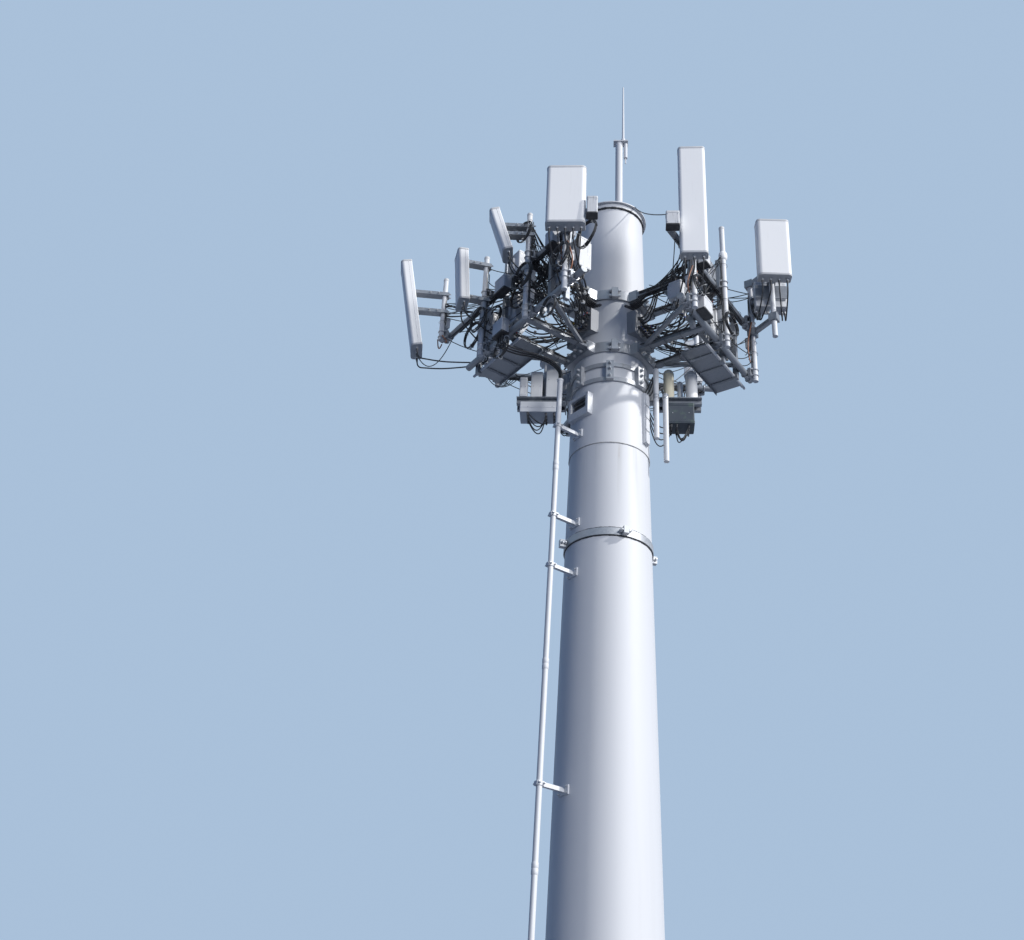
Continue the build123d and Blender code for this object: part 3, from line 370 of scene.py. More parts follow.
def merged(shapes):
    """One shape from several: points stacked, face numbers moved on by the points before them."""
    starts = np.cumsum([0] + [len(s[0]) for s in shapes[:-1]])
    return tuple([np.concatenate([s[0] for s in shapes])]
                 + [np.concatenate([s[k] + start for s, start in zip(shapes, starts)]) for k in (1, 2)])


def moved(shape, matrix):
    """Shape with its points turned and moved by a 4 by 4 matrix."""
    return (shape[0] @ matrix[:3, :3].T + matrix[:3, 3],) + tuple(shape[1:])


def copies(shape, matrices):
    """Shape repeated at every matrix: points through one product, faces offset by whole copies."""
    matrices = np.asarray(matrices)
    points = np.einsum("kij,nj->kni", matrices[:, :3, :3], shape[0]) + matrices[:, None, :3, 3]
    steps = np.arange(len(matrices))[:, None, None] * len(shape[0])
    return (points.reshape(-1, 3),) + tuple((f[None] + steps).reshape(-1, f.shape[1]) for f in shape[1:])


def shift(x, y, z):
    matrix = np.eye(4)
    matrix[:3, 3] = x, y, z
    return matrix


def spin(degrees, axis="z"):
    """Turn about one axis, anticlockwise seen from its tip."""
    c, s = np.cos(np.radians(degrees)), np.sin(np.radians(degrees))
    i, j = {"x": (1, 2), "y": (2, 0), "z": (0, 1)}[axis]
    matrix = np.eye(4)
    matrix[[i, i, j, j], [i, j, i, j]] = c, -s, s, c
    return matrix


def spot(place, x=0.0, y=0.0, z=0.0):
    """Point (x, y, z) of a place, in the tower's frame."""
    return (place @ [x, y, z, 1.0])[:3]


# %% Turning a shape into a piece
CREASE = np.radians(35)
# the record's slot of a finish, where it isn't the finish's own name
SLOTS = {"bolt_zinc": "galvanised", "sealant": "pole_paint", "entry_grey": "pole_paint", "cap_grey": "radome_white",
         "boot_pale": "radome_white", "shelf_boxes": "radio_housing", "boot_grey": "cable_black",
         "copper_braid": "cable_black", "tape_red": "cable_black", "tape_blue": "cable_black",
         "tape_white": "cable_black", "tape_yellow": "cable_black"}
made = {}


def piece(name, shape, finish, slot=None):
    """Mesh object from a shape or a list of shapes, at the origin, riding with the tower, with its finish; the slot is
    worked out but not used.
    """
    slot = slot or SLOTS.get(finish, finish)
    points, quads, triangles = merged(shape) if isinstance(shape, list) else shape
    mesh = bpy.data.meshes.new(name)
    mesh.from_pydata(points.tolist(), [], quads.tolist() + triangles.tolist())
    mesh.validate()
    mesh.shade_smooth()
    mesh.set_sharp_from_angle(angle=CREASE)
    mesh.materials.append(FINISHES[finish])
    thing = bpy.data.objects.new(name, mesh)
    bpy.context.collection.objects.link(thing)
    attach(thing, "root")
    made[name] = 2 * len(quads) + len(triangles)
    print(f"{name}: {made[name]} triangles, z {points[:, 2].min():.2f} to {points[:, 2].max():.2f} m")


# %% Base shapes: turned profiles and bars along a path
ODD_WAY = (0.31, 0.17, 0.93)    # a direction that no bar follows, so that it can give every one a side


def turned_profile(radii, heights, sides):
    """Surface of revolution about Z: x = r cos t, y = r sin t, z = h, with r and h read along the profile."""
    t = 2 * np.pi * np.arange(sides) / sides
    r, h = np.asarray(radii, float)[:, None], np.asarray(heights, float)[:, None]
    return wrapped(np.stack([r * np.cos(t), r * np.sin(t), h + 0 * t], -1))


def bar(path, radius, sides, reference=ODD_WAY):
    """Round bar: at each path point a ring in the plane of the side and normal of the path, closed at both ends."""
    path = np.asarray(path, float)
    along = np.gradient(path, axis=0)
    along /= np.linalg.norm(along, axis=1, keepdims=True)
    side = np.cross(np.asarray(reference, float), along)
    side /= np.linalg.norm(side, axis=1, keepdims=True)
    normal = np.cross(along, side)
    t = 2 * np.pi * np.arange(sides) / sides
    radius = np.broadcast_to(radius, len(path))[:, None, None]
    rings = path[:, None] + radius * (np.cos(t)[:, None] * side[:, None] + np.sin(t)[:, None] * normal[:, None])
    ends = [np.repeat(path[end, None, None], sides, 1) for end in (0, -1)]
    return wrapped(np.concatenate([ends[0], rings, ends[1]]))


def loop_tie(wide, deep, radius, steps=25):
    """Tie around a pipe or a coil: a bar along the ellipse x = wide cos t, y = deep sin t."""
    t = np.linspace(0, 2 * np.pi, steps)
    return bar(np.stack([wide * np.cos(t), deep * np.sin(t), 0 * t], -1), radius, 5, (0, 0, 1))


def hex_nut(across, tall):
    """Six-sided nut: a hexagon whose top and bottom edges are drawn in for the chamfers."""
    r = across / np.sqrt(3)
    return turned_profile([0, 0.92 * r, r, r, 0.92 * r, 0], [0, 0, 0.12 * tall, 0.88 * tall, tall, tall], 6)


def bolt_end(across, tall, shank, stick):
    """Nut on a washer with the bolt's round end above it, standing on z = 0."""
    thick, wide = 0.12 * across, 0.62 * across
    washer = turned_profile([0, wide, wide, 0], [0, 0, thick, thick], 12)
    nut_top = thick + tall
    tip = nut_top + stick + 0.1 * shank
    end = turned_profile([0, shank, shank, 0.8 * shank, 0],
                         [nut_top - 0.001, nut_top - 0.001, nut_top + stick, tip, tip], 8)
    return merged([washer, moved(hex_nut(across, tall), shift(0, 0, thick)), end])


# %% [markdown]
# ## Where things are
# The sectors' places repeat the CAD model's values, in metres. A place is given along a sector's face, out from the
# pole's axis and up, and `at` turns it into a matrix. A panel has its own turn and tilt on top of that.

# %% Places of the sectors' pieces
UPPER, LOWER = 13.40, 12.66                     # heights of the two rows of arms and face pipes
FACE_OUT, MAST_OUT = 1.26, 1.36                 # face pipes and masts, out from the pole's axis
ARMS = (-0.18, 0.18)
PIPE, FACE_PIPE = 0.060, 0.073
GAP = 0.0003                                    # the room that the CAD leaves between two solids
FOOT_RADIUS, TOP_RADIUS, POLE_HEIGHT = 0.641, 0.360, 14.8
TAPER = (FOOT_RADIUS - TOP_RADIUS) / POLE_HEIGHT
SLIP = 0.0083                                   # the upper section's outside, beyond the lower one's line
TURN = {"left": -52, "right": 60, "back": 186}
Mast = namedtuple("Mast", "along foot length")
MASTS = {
    "left": [Mast(-1.48, 13.32, 0.92), Mast(-0.56, 12.55, 1.40), Mast(0.29, 12.55, 1.44), Mast(0.985, 12.47, 1.38)],
    "right": [Mast(-0.63, 12.55, 1.80), Mast(0.14, 12.55, 1.69), Mast(0.86, 12.55, 1.39)],
    "back": [Mast(-1.24, 13.30, 1.15), Mast(0.0, 12.55, 1.60), Mast(1.24, 13.30, 1.15)],
}
OUTER_MAST, OUTER_OUT = Mast(0.72, 12.96, 1.44), 1.68   # the right sector's fourth mast, on its outrigger
Panel = namedtuple("Panel", "sector mast turn reach foot length width depth tilt")
PANELS = [
    Panel("left", 0, -82, 0.205, 13.140, 1.275, 0.290, 0.130, 10.4),
    Panel("left", 1, -74, 0.180, 13.215, 0.720, 0.260, 0.120, 4.8),
    Panel("left", 2, -86, 0.165, 13.405, 0.600, 0.240, 0.110, 17.0),
    Panel("left", 3, 0, 0.155, 13.110, 0.740, 0.405, 0.150, 3.0),
    Panel("right", 0, -1, 0.125, 13.090, 1.440, 0.290, 0.120, 3.0),
    Panel("right", 3, 3, 0.125, 13.630, 0.770, 0.370, 0.150, 4.0),
    Panel("back", 0, 164, 0.125, 13.790, 0.620, 0.405, 0.150, 8.0),
    Panel("back", 1, 186, 0.125, 12.960, 1.430, 0.290, 0.120, 3.0),
    Panel("back", 2, 208, 0.125, 13.790, 0.620, 0.405, 0.150, 8.0),
]
Radio = namedtuple("Radio", "sector along foot width tall")
RADIOS = [
    Radio("left", -0.84, 12.95, 0.28, 0.40), Radio("left", -0.36, 12.95, 0.28, 0.40),
    Radio("left", 0.52, 12.95, 0.26, 0.40), Radio("left", 0.80, 12.95, 0.26, 0.40),
    Radio("left", -0.36, 13.62, 0.28, 0.34), Radio("left", 0.52, 13.62, 0.26, 0.34),
    Radio("right", -0.36, 12.90, 0.28, 0.22), Radio("right", 0.36, 12.95, 0.28, 0.40),
    Radio("right", 0.70, 12.95, 0.26, 0.40), Radio("right", 0.36, 13.62, 0.28, 0.34),
    Radio("back", -0.36, 12.95, 0.28, 0.40), Radio("back", 0.36, 12.95, 0.28, 0.40),
]
RADIO_FACE, RADIO_DEEP = 1.1449, 0.17
HIGH_RADIO = 13.5                               # a radio whose foot is above this is one of the upper ones


def at(sector, along, out, height):
    """Matrix of a place on a sector: local x runs along its face, local -y points out."""
    return spin(TURN[sector]) @ shift(along, -out, height)


def panel_mast(panel):
    """Matrix on the axis of a panel's mast, at the panel's foot, turned as the panel is."""
    outer = panel.mast == len(MASTS[panel.sector])
    mast, out = (OUTER_MAST, OUTER_OUT) if outer else (MASTS[panel.sector][panel.mast], MAST_OUT)
    return shift(*spot(at(panel.sector, mast.along, out, panel.foot))) @ spin(panel.turn)


def pole_radius(height):
    """The pole's radius, which falls with the height, with the upper section outside the lower one."""
    return FOOT_RADIUS - TAPER * height + SLIP * (height > JOINT_HEIGHT)


print(len(PANELS), "panels,", len(RADIOS), "radios,", sum(len(m) for m in MASTS.values()) + 1, "mast pipes")

# %% [markdown]
# ## The foot's anchor bolts
# The photo stops above the foot. A pole this wide stands on a ring of sixteen 39 mm anchor bolts, each with a thick
# washer and two heavy nuts. One bolt is made and copied around the circle. The threads are a profile that goes in
# and out by a millimetre.

# %% Anchor bolts
FLANGE_THICK, BOLT_CIRCLE, ANCHORS = 0.055, 0.75, 16


def threaded_end(radius, low, high, pitch):
    """Turned profile that swings between the crest and the root of a thread, with a chamfered tip."""
    turns = int((high - low) / pitch)
    heights = low + np.arange(2 * turns + 1) * pitch / 2
    radii = radius - 0.06 * radius * (np.arange(2 * turns + 1) % 2)
    return turned_profile([0, *radii, 0.8 * radius, 0], [low, *heights, high + 0.004, high + 0.004], 16)


anchor = merged([
    turned_profile([0, 0.040, 0.040, 0], [0, 0, 0.006, 0.006], 24),
    moved(hex_nut(0.060, 0.031), shift(0, 0, 0.006)),
    moved(hex_nut(0.060, 0.028), shift(0, 0, 0.0375) @ spin(17)),
    threaded_end(0.0195, 0.06, 0.115, 0.004),
])
anchor_places = [spin(360 * i / ANCHORS) @ shift(0, -BOLT_CIRCLE, FLANGE_THICK) for i in range(ANCHORS)]
piece("anchor_bolts", copies(anchor, anchor_places), "bolt_zinc")

# %% [markdown]
# ## Weld beads and the slip joint
# The upper section slides over the lower one, and its lip is closed with sealant. Each section is one rolled plate
# with a single long weld, which shows as a low rippled line. The bead's height swings a little along its length.

# %% Joint bead and long welds
def ripple_ring(radius, height, size):
    """Torus whose tube swells: radius + size cos v, height + size sin v, size varied with a slow wave of u."""
    u = 2 * np.pi * np.arange(241)[:, None] / 240
    v = 2 * np.pi * np.arange(8)[None] / 8
    s = size * (1 + 0.18 * np.sin(23 * u) + 0.12 * np.sin(61 * u))
    r = radius + s * np.cos(v)
    return wrapped(np.stack([r * np.sin(u), -r * np.cos(u), height + s * np.sin(v)], -1))


def long_weld(azimuth, low, high):
    """Low bead up the pole: half sunk in the wall, as wide as 9 mm, its height rippling with z."""
    z = np.linspace(low, high, 400)
    middle = (low + high) / 2
    path = np.stack([0 * z, TAPER * (z - middle) - pole_radius(middle), z], -1)
    size = 0.0045 * (1 + 0.15 * np.sin(z * 90))
    return moved(bar(path, size, 6, (1, 0, 0)), spin(azimuth))


piece("joint_sealant", ripple_ring(pole_radius(JOINT_HEIGHT) + 0.004, JOINT_HEIGHT - 0.002, 0.005), "sealant")
long_runs = [(128, 0.34, 11.40), (208, 12.75, 13.30), (208, 13.50, 14.72)]
piece("long_welds", [long_weld(*run) for run in long_runs], "pole_paint")
gusset_angles = 360 * (np.arange(ANCHORS) + 0.5) / ANCHORS
BEAD_HEIGHT = FLANGE_THICK + 0.0005
foot_path = np.array([[0, -out, BEAD_HEIGHT] for out in (0.6455, 0.70, 0.76, 0.815)])
fillet = merged([moved(bar(foot_path, 0.006, 6, (0, 0, 1)), shift(x, 0, 0)) for x in (-0.010, 0.010)])
foot_bead = ripple_ring(0.6440, BEAD_HEIGHT, 0.009)
piece("foot_welds", [foot_bead, copies(fillet, [spin(angle) for angle in gusset_angles])], "galvanised")

# %% [markdown]
# ## Bolts of the collars, the strap ring and the lower ring
# A collar is drawn together by bolts through its lugs and holds each frame's seat plate with six more. All of them
# are the same M20 bolt end, so it is made once and copied to a list of places: a nut on each side of a lug, and one
# on the outer face of each plate.

# %% Collar and ring bolts
STRAP_HEIGHT, RING_HEIGHT = 10.35, 12.33
nut_m20 = bolt_end(0.030, 0.018, 0.010, 0.012)
nut_m12 = bolt_end(0.019, 0.011, 0.006, 0.008)


def facing_out(matrix):
    """Turns a bolt end that stands on z so that it points out along local -y."""
    return matrix @ spin(90, "x")


def sideways(matrix, side):
    """Turns a bolt end so that it points along local +x or -x."""
    return matrix @ spin(90 * side, "y")


def seat_radius(height):
    """Distance out of a collar's seat: the pole's radius at its low edge and the collar's wall and seat."""
    return pole_radius(height - 0.065) + 0.052


plate_places, lug_places = [], []
for height in (UPPER, LOWER):
    for sector, azimuth in TURN.items():
        face = seat_radius(height) + 0.0163
        for along in (-0.11, 0, 0.11):
            plate_places += [facing_out(at(sector, along, face, height + rise)) for rise in (-0.038, 0.038)]
        lug = spin(azimuth + 58) @ shift(0, 0.012 - seat_radius(height), height)
        for rise in (-0.035, 0.035):
            lug_places += [sideways(lug @ shift(side * 0.0351, 0, rise), side) for side in (-1, 1)]
for azimuth in 20 + 90 * np.arange(4):
    for out in (0.028, 0.058):
        ear = spin(azimuth) @ shift(0, -pole_radius(STRAP_HEIGHT - 0.04) - out, STRAP_HEIGHT)
        lug_places += [sideways(ear @ shift(side * 0.0261, 0, 0), side) for side in (-1, 1)]
for azimuth in 45 * np.arange(8):
    if azimuth not in (90, 270):
        face = spin(azimuth) @ shift(0, -pole_radius(RING_HEIGHT) - 0.0601, RING_HEIGHT)
        plate_places += [facing_out(face @ shift(0, 0, rise)) for rise in (-0.09, 0.0, 0.07)]
piece("collar_bolts", copies(nut_m20, plate_places + lug_places), "bolt_zinc")

# %% [markdown]
# ## U-bolts on the crossover clamps
# Every mast pipe is held to a face pipe by two U-bolts around the mast and two around the face pipe, with nuts on
# the far side of the block. A U is a path: a straight leg, half a circle and a leg back. A round bar follows it.

# %% U-bolts
def u_bolt(pipe, plate, rod=0.0055):
    """U around a pipe: legs from y = plate + 14 mm, half a circle about the origin, and nuts beyond the plate."""
    radius, leg = pipe / 2 + 0.006, plate + 0.014
    t = np.pi * np.arange(13) / 12
    bend = np.stack([radius * np.cos(t), -radius * np.sin(t), 0 * t], -1)
    path = np.concatenate([[[radius, leg, 0], [radius, leg / 2, 0]], bend, [[-radius, leg / 2, 0], [-radius, leg, 0]]])
    nuts = [moved(nut_m12, shift(s * radius, plate, 0) @ spin(-90, "x")) for s in (-1, 1)]
    return merged([bar(path, rod, 6, (0, 0, 1))] + nuts)


BLOCK_IN, BLOCK_OUT = FACE_OUT + FACE_PIPE / 2 + GAP, MAST_OUT - PIPE / 2 - GAP
mast_u = u_bolt(PIPE, MAST_OUT - BLOCK_IN)
face_u = moved(u_bolt(FACE_PIPE, BLOCK_OUT - FACE_OUT), spin(90, "y"))
mast_places, face_places = [], []
for sector, masts in MASTS.items():
    for mast in masts:
        for height in [h for h in (UPPER, LOWER) if mast.foot < h]:
            mast_places += [at(sector, mast.along, MAST_OUT, height + rise) for rise in (-0.038, 0.038)]
            face_places += [at(sector, mast.along + s * 0.05, FACE_OUT, height) @ spin(180) for s in (-1, 1)]
piece("clamp_u_bolts", [copies(mast_u, mast_places), copies(face_u, face_places)], "bolt_zinc")

# %% [markdown]
# ## End caps and seams of the panels
# A panel antenna is a fibreglass trough closed by a moulded cap at each end. The caps stand a few millimetres proud,
# which draws the thin lines seen at a panel's head and foot. A rounded outline is worked out once, from four quarter
# circles, and a skin is that outline grown by a different amount at each height.

# %% Housing outlines and skins
CORNER = 0.012


def outline(width, depth, front, rear, grow=0.0, steps=7):
    """Outline seen from above, y from -depth to 0: four quarter circles about the corner centres, radius + grow."""
    angles = np.radians(np.linspace(0, 90, steps))[None, :] + np.radians([-90, 0, 90, 180])[:, None]
    radius = np.array([front, rear, rear, front])[:, None]
    centre_x = np.array([width / 2 - front, width / 2 - rear, rear - width / 2, front - width / 2])[:, None]
    centre_y = np.array([front - depth, -rear, -rear, front - depth])[:, None]
    points = np.stack([centre_x + (radius + grow) * np.cos(angles), centre_y + (radius + grow) * np.sin(angles)], -1)
    return points.reshape(-1, 2)


def skin(width, depth, profile, front=CORNER, rear=CORNER):
    """Closed skin around a housing: its outline grown by the first number of each pair of the profile, at the
    height that the second one gives, and drawn to a point at both ends."""
    rings = [outline(width, depth, front, rear, grow) for grow, _ in profile]
    centre = np.tile([0.0, -depth / 2], (len(rings[0]), 1))
    heights = [profile[0][1]] + [height for _, height in profile] + [profile[-1][1]]
    layers = [np.column_stack([ring, np.full(len(ring), h)]) for ring, h in zip([centre, *rings, centre], heights)]
    return wrapped(np.stack(layers))


def rim(width, depth, low, high, proud=0.0025, edge=0.003):
    """Band around a housing from low to high, standing proud by less than its edges are high."""
    return skin(width, depth, [(-0.002, low), (proud, low + edge), (proud, high - edge), (-0.002, high)])


panel_places, caps, seams = [], [], []
for panel in PANELS:
    place = panel_mast(panel) @ shift(0, -panel.reach, 0) @ spin(panel.tilt, "x")
    panel_places.append(place)
    head, corners = panel.length, (0.3 * panel.depth, 0.010)
    low_cap = [(-0.008, -0.0045), (0.0, -0.004), (0.003, 0.001), (0.003, 0.021), (0.0, 0.024), (-0.002, 0.024)]
    top_cap = [(-0.002, head - 0.024), (0.0, head - 0.024), (0.003, head - 0.021), (0.003, head - 0.003),
               (0.0, head + 0.003), (-0.012, head + 0.0045)]
    caps += [moved(skin(panel.width, panel.depth, cap, *corners), place) for cap in (low_cap, top_cap)]
    for side in (-1, 1):
        edge = [[side * panel.width / 2, -0.33 * panel.depth, h] for h in np.linspace(0.026, head - 0.026, 5)]
        seams.append(moved(bar(edge, 0.0018, 5, (0, 1, 0)), place))
piece("panel_caps", caps, "cap_grey")
piece("panel_seams", seams, "cap_grey")

# %% [markdown]
# ## Coupling nuts, boots and caps on the connectors
# Each lead ends in a coupling nut with a ribbed rubber boot below it, and an unused connector wears a plastic cap.
# Some boots are the pale cold-shrink kind, which are the white dots among the dark leads in the photo. A boot is a
# turned profile: wide at the connector, stepping in rib by rib to the lead's own width.

# %% Connector parts
def boot(wide, narrow, long, ribs):
    """Turned profile hung below z = 0: radius falls from wide to narrow, with a raised rib at every step."""
    z = np.linspace(-long, -0.004, 3 * ribs)
    radius = narrow + (wide - narrow) * (z + long) / long + 0.0009 * (np.arange(3 * ribs) % 3 == 1)
    return turned_profile([0, narrow, *radius, wide, 0], [-long - 0.002, -long - 0.002, *z, 0.003, 0.003], 12)


CONNECTOR_TIP = -0.034      # a connector's lower end, below the panel's or radio's own foot
coupling = moved(hex_nut(0.031, 0.015), shift(0, 0, 0.012))
knurl = turned_profile([0, 0.0142, 0.0152, 0.0152, 0.0142, 0], [0.002, 0.002, 0.004, 0.010, 0.012, 0.012], 18)
connector_nut = merged([coupling, knurl])
lead_boot, trunk_boot = boot(0.0140, 0.0088, 0.046, 4), boot(0.0150, 0.0100, 0.050, 4)
blank_cap = turned_profile([0, 0.011, 0.0150, 0.0150, 0.0140, 0], [-0.006, -0.006, -0.002, 0.018, 0.020, 0.020], 14)


def panel_ends(index):
    """Matrices at the lower ends of a panel's connectors: one for every 75 mm of its width."""
    panel = PANELS[index]
    count = max(2, int(panel.width / 0.075))
    return [panel_places[index] @ shift(panel.width * ((i + 0.5) / count - 0.5), -panel.depth / 2, CONNECTOR_TIP)
            for i in range(count)]


PORT_SHARES = (-0.38, -0.18, 0.18, 0.38)
OUTER_RADIO_X, OUTER_RADIO_WIDTH, OUTER_RADIO_TALL = (-0.095, 0.095), 0.17, 0.36


def radio_frame(radio):
    """Matrix of a radio: origin at its outer face's foot, y towards the pole."""
    return at(radio.sector, radio.along, RADIO_FACE, radio.foot)


def port_ends(place, width):
    return [place @ shift(share * width, RADIO_DEEP / 2, CONNECTOR_TIP) for share in PORT_SHARES]


outer_place = shift(*spot(at("right", OUTER_MAST.along, OUTER_OUT, 13.44))) @ spin(3)
outer_frames = [outer_place @ shift(x, 0.0706, 0) for x in OUTER_RADIO_X]
# panel: the connectors that hold a CAD lead
USED = {0: (0, 2), 1: (0, 2), 2: (0, 2), 3: (0, 3, 2), 4: (0, 1), 5: (0, 1, 2, 3), 7: (0, 2)}
# radio: the ports that hold a panel's lead; the rest hold trunk cables, but two ports of one radio are blank
LEAD_PORTS = {0: (0, 1, 3), 1: (0,), 2: (0, 1, 2), 3: (3, 2), 6: (0, 1), 10: (3,), 11: (0,)}
BLANK_PORTS = {8: (2, 3)}
lead_ends, trunk_ends, blank_ends = [], [], []
for index in range(len(PANELS)):
    lead_ends += [end for i, end in enumerate(panel_ends(index)) if i in USED.get(index, ())]
for index, radio in enumerate(RADIOS):
    for i, end in enumerate(port_ends(radio_frame(radio), radio.width)):
        if i in LEAD_PORTS.get(index, ()):
            lead_ends.append(end)
        elif i in BLANK_PORTS.get(index, ()):
            blank_ends.append(end)
        else:
            trunk_ends.append(end)
for k, place in enumerate(outer_frames):
    ends = port_ends(place, OUTER_RADIO_WIDTH)
    lead_ends += ends[2 * k:2 * k + 2]
    blank_ends += ends[2 - 2 * k:4 - 2 * k]
piece("connector_nuts", copies(connector_nut, lead_ends + trunk_ends), "bolt_zinc")
piece("lead_boots", copies(lead_boot, lead_ends), "boot_grey")
piece("trunk_boots", copies(trunk_boot, trunk_ends), "boot_pale")
piece("blank_caps", copies(blank_cap, blank_ends), "boot_pale")

# %% [markdown]
# ## Radio housings
# A radio is a cast box with fins towards the pole. Its lid is drawn down by a proud rim at the head and the foot,
# with a carrying handle on top and cover screws on its sides. The rims are skins like the panels' caps, and the
# handle is a bar along a rounded arch.

# %% Rims, handles and screws of the radios
LID_DEEP = 0.148


def arch(width, tall, steps=15):
    """Path of a handle in x, z: superellipse |x / a|^4 + |z / b|^4 = 1 above z = 0."""
    t = np.linspace(0, np.pi, steps)
    x = np.sign(np.cos(t)) * np.abs(np.cos(t)) ** 0.5 * width / 2
    return np.stack([-x, 0 * t, np.abs(np.sin(t)) ** 0.5 * tall], -1)


screw = turned_profile([0, 0.0045, 0.0055, 0.0055, 0], [-0.001, -0.001, 0.002, 0.003, 0.003], 10)
rims, handles, screw_places = [], [], []
radio_sizes = [(radio_frame(radio), radio.width, radio.tall) for radio in RADIOS]
radio_sizes += [(place, OUTER_RADIO_WIDTH, OUTER_RADIO_TALL) for place in outer_frames]
for place, width, tall in radio_sizes:
    rims += [moved(rim(width, LID_DEEP, low, low + 0.024), place @ shift(0, LID_DEEP, 0))
             for low in (0.006, tall - 0.030)]
    handles.append(moved(bar(arch(0.11, 0.034), 0.0048, 8, (0, 1, 0)), place @ shift(0, 0.065, tall - 0.002)))
    for side in (-1, 1):
        screw_places += [sideways(place @ shift(side * (width / 2 + 0.0005), inward, rise), side)
                         for rise in (0.05, tall / 2, tall - 0.05) for inward in (0.025, 0.123)]
piece("radio_rims", rims, "radio_housing")
piece("radio_handles", handles, "boot_grey")
piece("radio_screws", copies(screw, screw_places), "bolt_zinc")

# %% [markdown]
# ## Trunk cables: glands, clips and coloured tape
# Trunk cables come out of the pole through a plate of glands and hang in a fan to the radios. Coloured tape is
# wrapped near each end to tell the sectors' ports apart, and pale plastic blocks clip the cables together. The routes
# are those of the CAD cables, so a clip is set at the middle of a run, where the cable is straight.

# %% Routes of the trunk cables
ENTRY_HEIGHT = 13.03
ENTRY_FACE = pole_radius(ENTRY_HEIGHT) + 0.040
ENTRY_PITCH, ENTRY_RISE = 0.048, {0: -0.050, 1: 0.075}
# for each sector and row: column, radio, port, sag
TRUNKS = {
    ("left", 0): [(-3, 0, 2, 0.175), (-2, 1, 1, 0.120), (-1, 1, 2, 0.190), (0, 1, 3, 0.150), (1, 2, 3, 0.200),
                  (2, 3, 0, 0.130), (3, 3, 1, 0.180)],
    ("left", 1): [(-4, 4, 0, 0.060), (-3, 4, 1, 0.020), (-2, 4, 2, 0.075), (-1, 4, 3, 0.035), (1, 5, 0, 0.050),
                  (2, 5, 1, 0.015), (3, 5, 2, 0.070), (4, 5, 3, 0.030)],
    ("right", 0): [(-3, 6, 2, 0.190), (-2, 6, 3, 0.140), (-1, 7, 0, 0.180), (0, 7, 1, 0.120), (1, 7, 2, 0.200),
                   (2, 7, 3, 0.150), (3, 8, 0, 0.175), (4, 8, 1, 0.125)],
    ("right", 1): [(1, 9, 0, 0.060), (2, 9, 1, 0.020), (3, 9, 2, 0.075), (4, 9, 3, 0.035)],
    ("back", 0): [(-3, 10, 0, 0.160), (-2, 10, 1, 0.120), (-1, 10, 2, 0.180), (1, 11, 1, 0.140), (2, 11, 2, 0.190),
                  (3, 11, 3, 0.125)],
}


def trunk_route(sector, row, column, radio, port, sag):
    """Points of a trunk cable: a low one sags to below its port, a high one climbs past the lower radio."""
    radio = RADIOS[radio]
    x0, out, high = column * ENTRY_PITCH, ENTRY_FACE, ENTRY_HEIGHT + ENTRY_RISE[row]
    x1, far, low = radio.along + PORT_SHARES[port] * radio.width, RADIO_FACE - RADIO_DEEP / 2, radio.foot - 0.0343
    run, span = x1 - x0, far - out
    below = low - (0.117 if row else 0.130)
    if row:
        middle = [(x0 + 0.62 * run, out + 0.36 * span, high - sag), (x1, out + 0.64 * span, high - 0.7 * sag + 0.025),
                  (x1, far - 0.146, high + 0.12), (x1, far - 0.136, below - 0.06)]
    else:
        middle = [(x0 + 0.30 * run, out + 0.33 * span, high - 0.75 * sag),
                  (x0 + 0.66 * run, out + 0.58 * span, high - sag),
                  (x0 + 0.92 * run, out + 0.80 * span, below - 0.012)]
    points = [(x0, out, high), (x0, out + 0.085, high), *middle, (x1, far, below), (x1, far, low)]
    return points * np.array([1, -1, 1]) @ spin(TURN[sector])[:3, :3].T


def along_run(start, end, share):
    """Matrix on a straight run, its z axis along the run, at a share of its length."""
    way = (end - start) / np.linalg.norm(end - start)
    side = np.cross(ODD_WAY, way)
    side /= np.linalg.norm(side)
    matrix = np.eye(4)
    matrix[:3] = np.stack([side, np.cross(way, side), way, start + share * (end - start)], 1)
    return matrix


def sleeve(radius, long):
    """Short sleeve around a cable, with rounded ends."""
    r, h = radius, long / 2
    return turned_profile([0, r - 0.001, r, r, r - 0.001, 0], [-h, -h, 0.001 - h, h - 0.001, h, h], 14)


routes = [trunk_route(sector, row, *cable) for (sector, row), cables in TRUNKS.items() for cable in cables]
clip_block = merged([moved(sleeve(0.0165, 0.024), shift(x, 0, 0)) for x in (0, 0.018)]
                    + [moved(sleeve(0.006, 0.030), shift(0.009, 0.014, 0))])
clip_places = [along_run(r[k], r[k + 1], 0.5) for r in routes for k in range(1, len(r) - 3)]
piece("trunk_clips", copies(clip_block, clip_places[::2]), "boot_pale")
arm_glands = [at("right", ENTRY_PITCH * column, ENTRY_FACE, ENTRY_HEIGHT + ENTRY_RISE[1]) for column in (-3, -2, -1)]
gland_places = [along_run(r[0], r[1], 0.0) for r in routes] + [facing_out(place) for place in arm_glands]
gland = merged([moved(hex_nut(0.040, 0.010), shift(0, 0, -0.001)),
                turned_profile([0, 0.017, 0.017, 0.013, 0.0105, 0], [0.008, 0.008, 0.020, 0.028, 0.032, 0.032], 14)])
piece("entry_glands", copies(gland, gland_places), "boot_grey")
LAST_RUN = 0.13             # length of the run that leads up to a port
tape_places = {colour: [] for colour in ("red", "blue", "white", "yellow")}
for number, route in enumerate(routes):
    for step in range(1 + number % 3):
        colour = list(tape_places)[(number // 3 + step * (number % 2)) % 4]
        tape_places[colour] += [along_run(route[-1], route[-2], (0.056 + 0.009 * step) / LAST_RUN),
                                along_run(route[0], route[1], 0.46 + 0.13 * step)]
for colour, places in tape_places.items():
    piece(f"tape_{colour}", copies(sleeve(0.0096, 0.008), places), f"tape_{colour}")

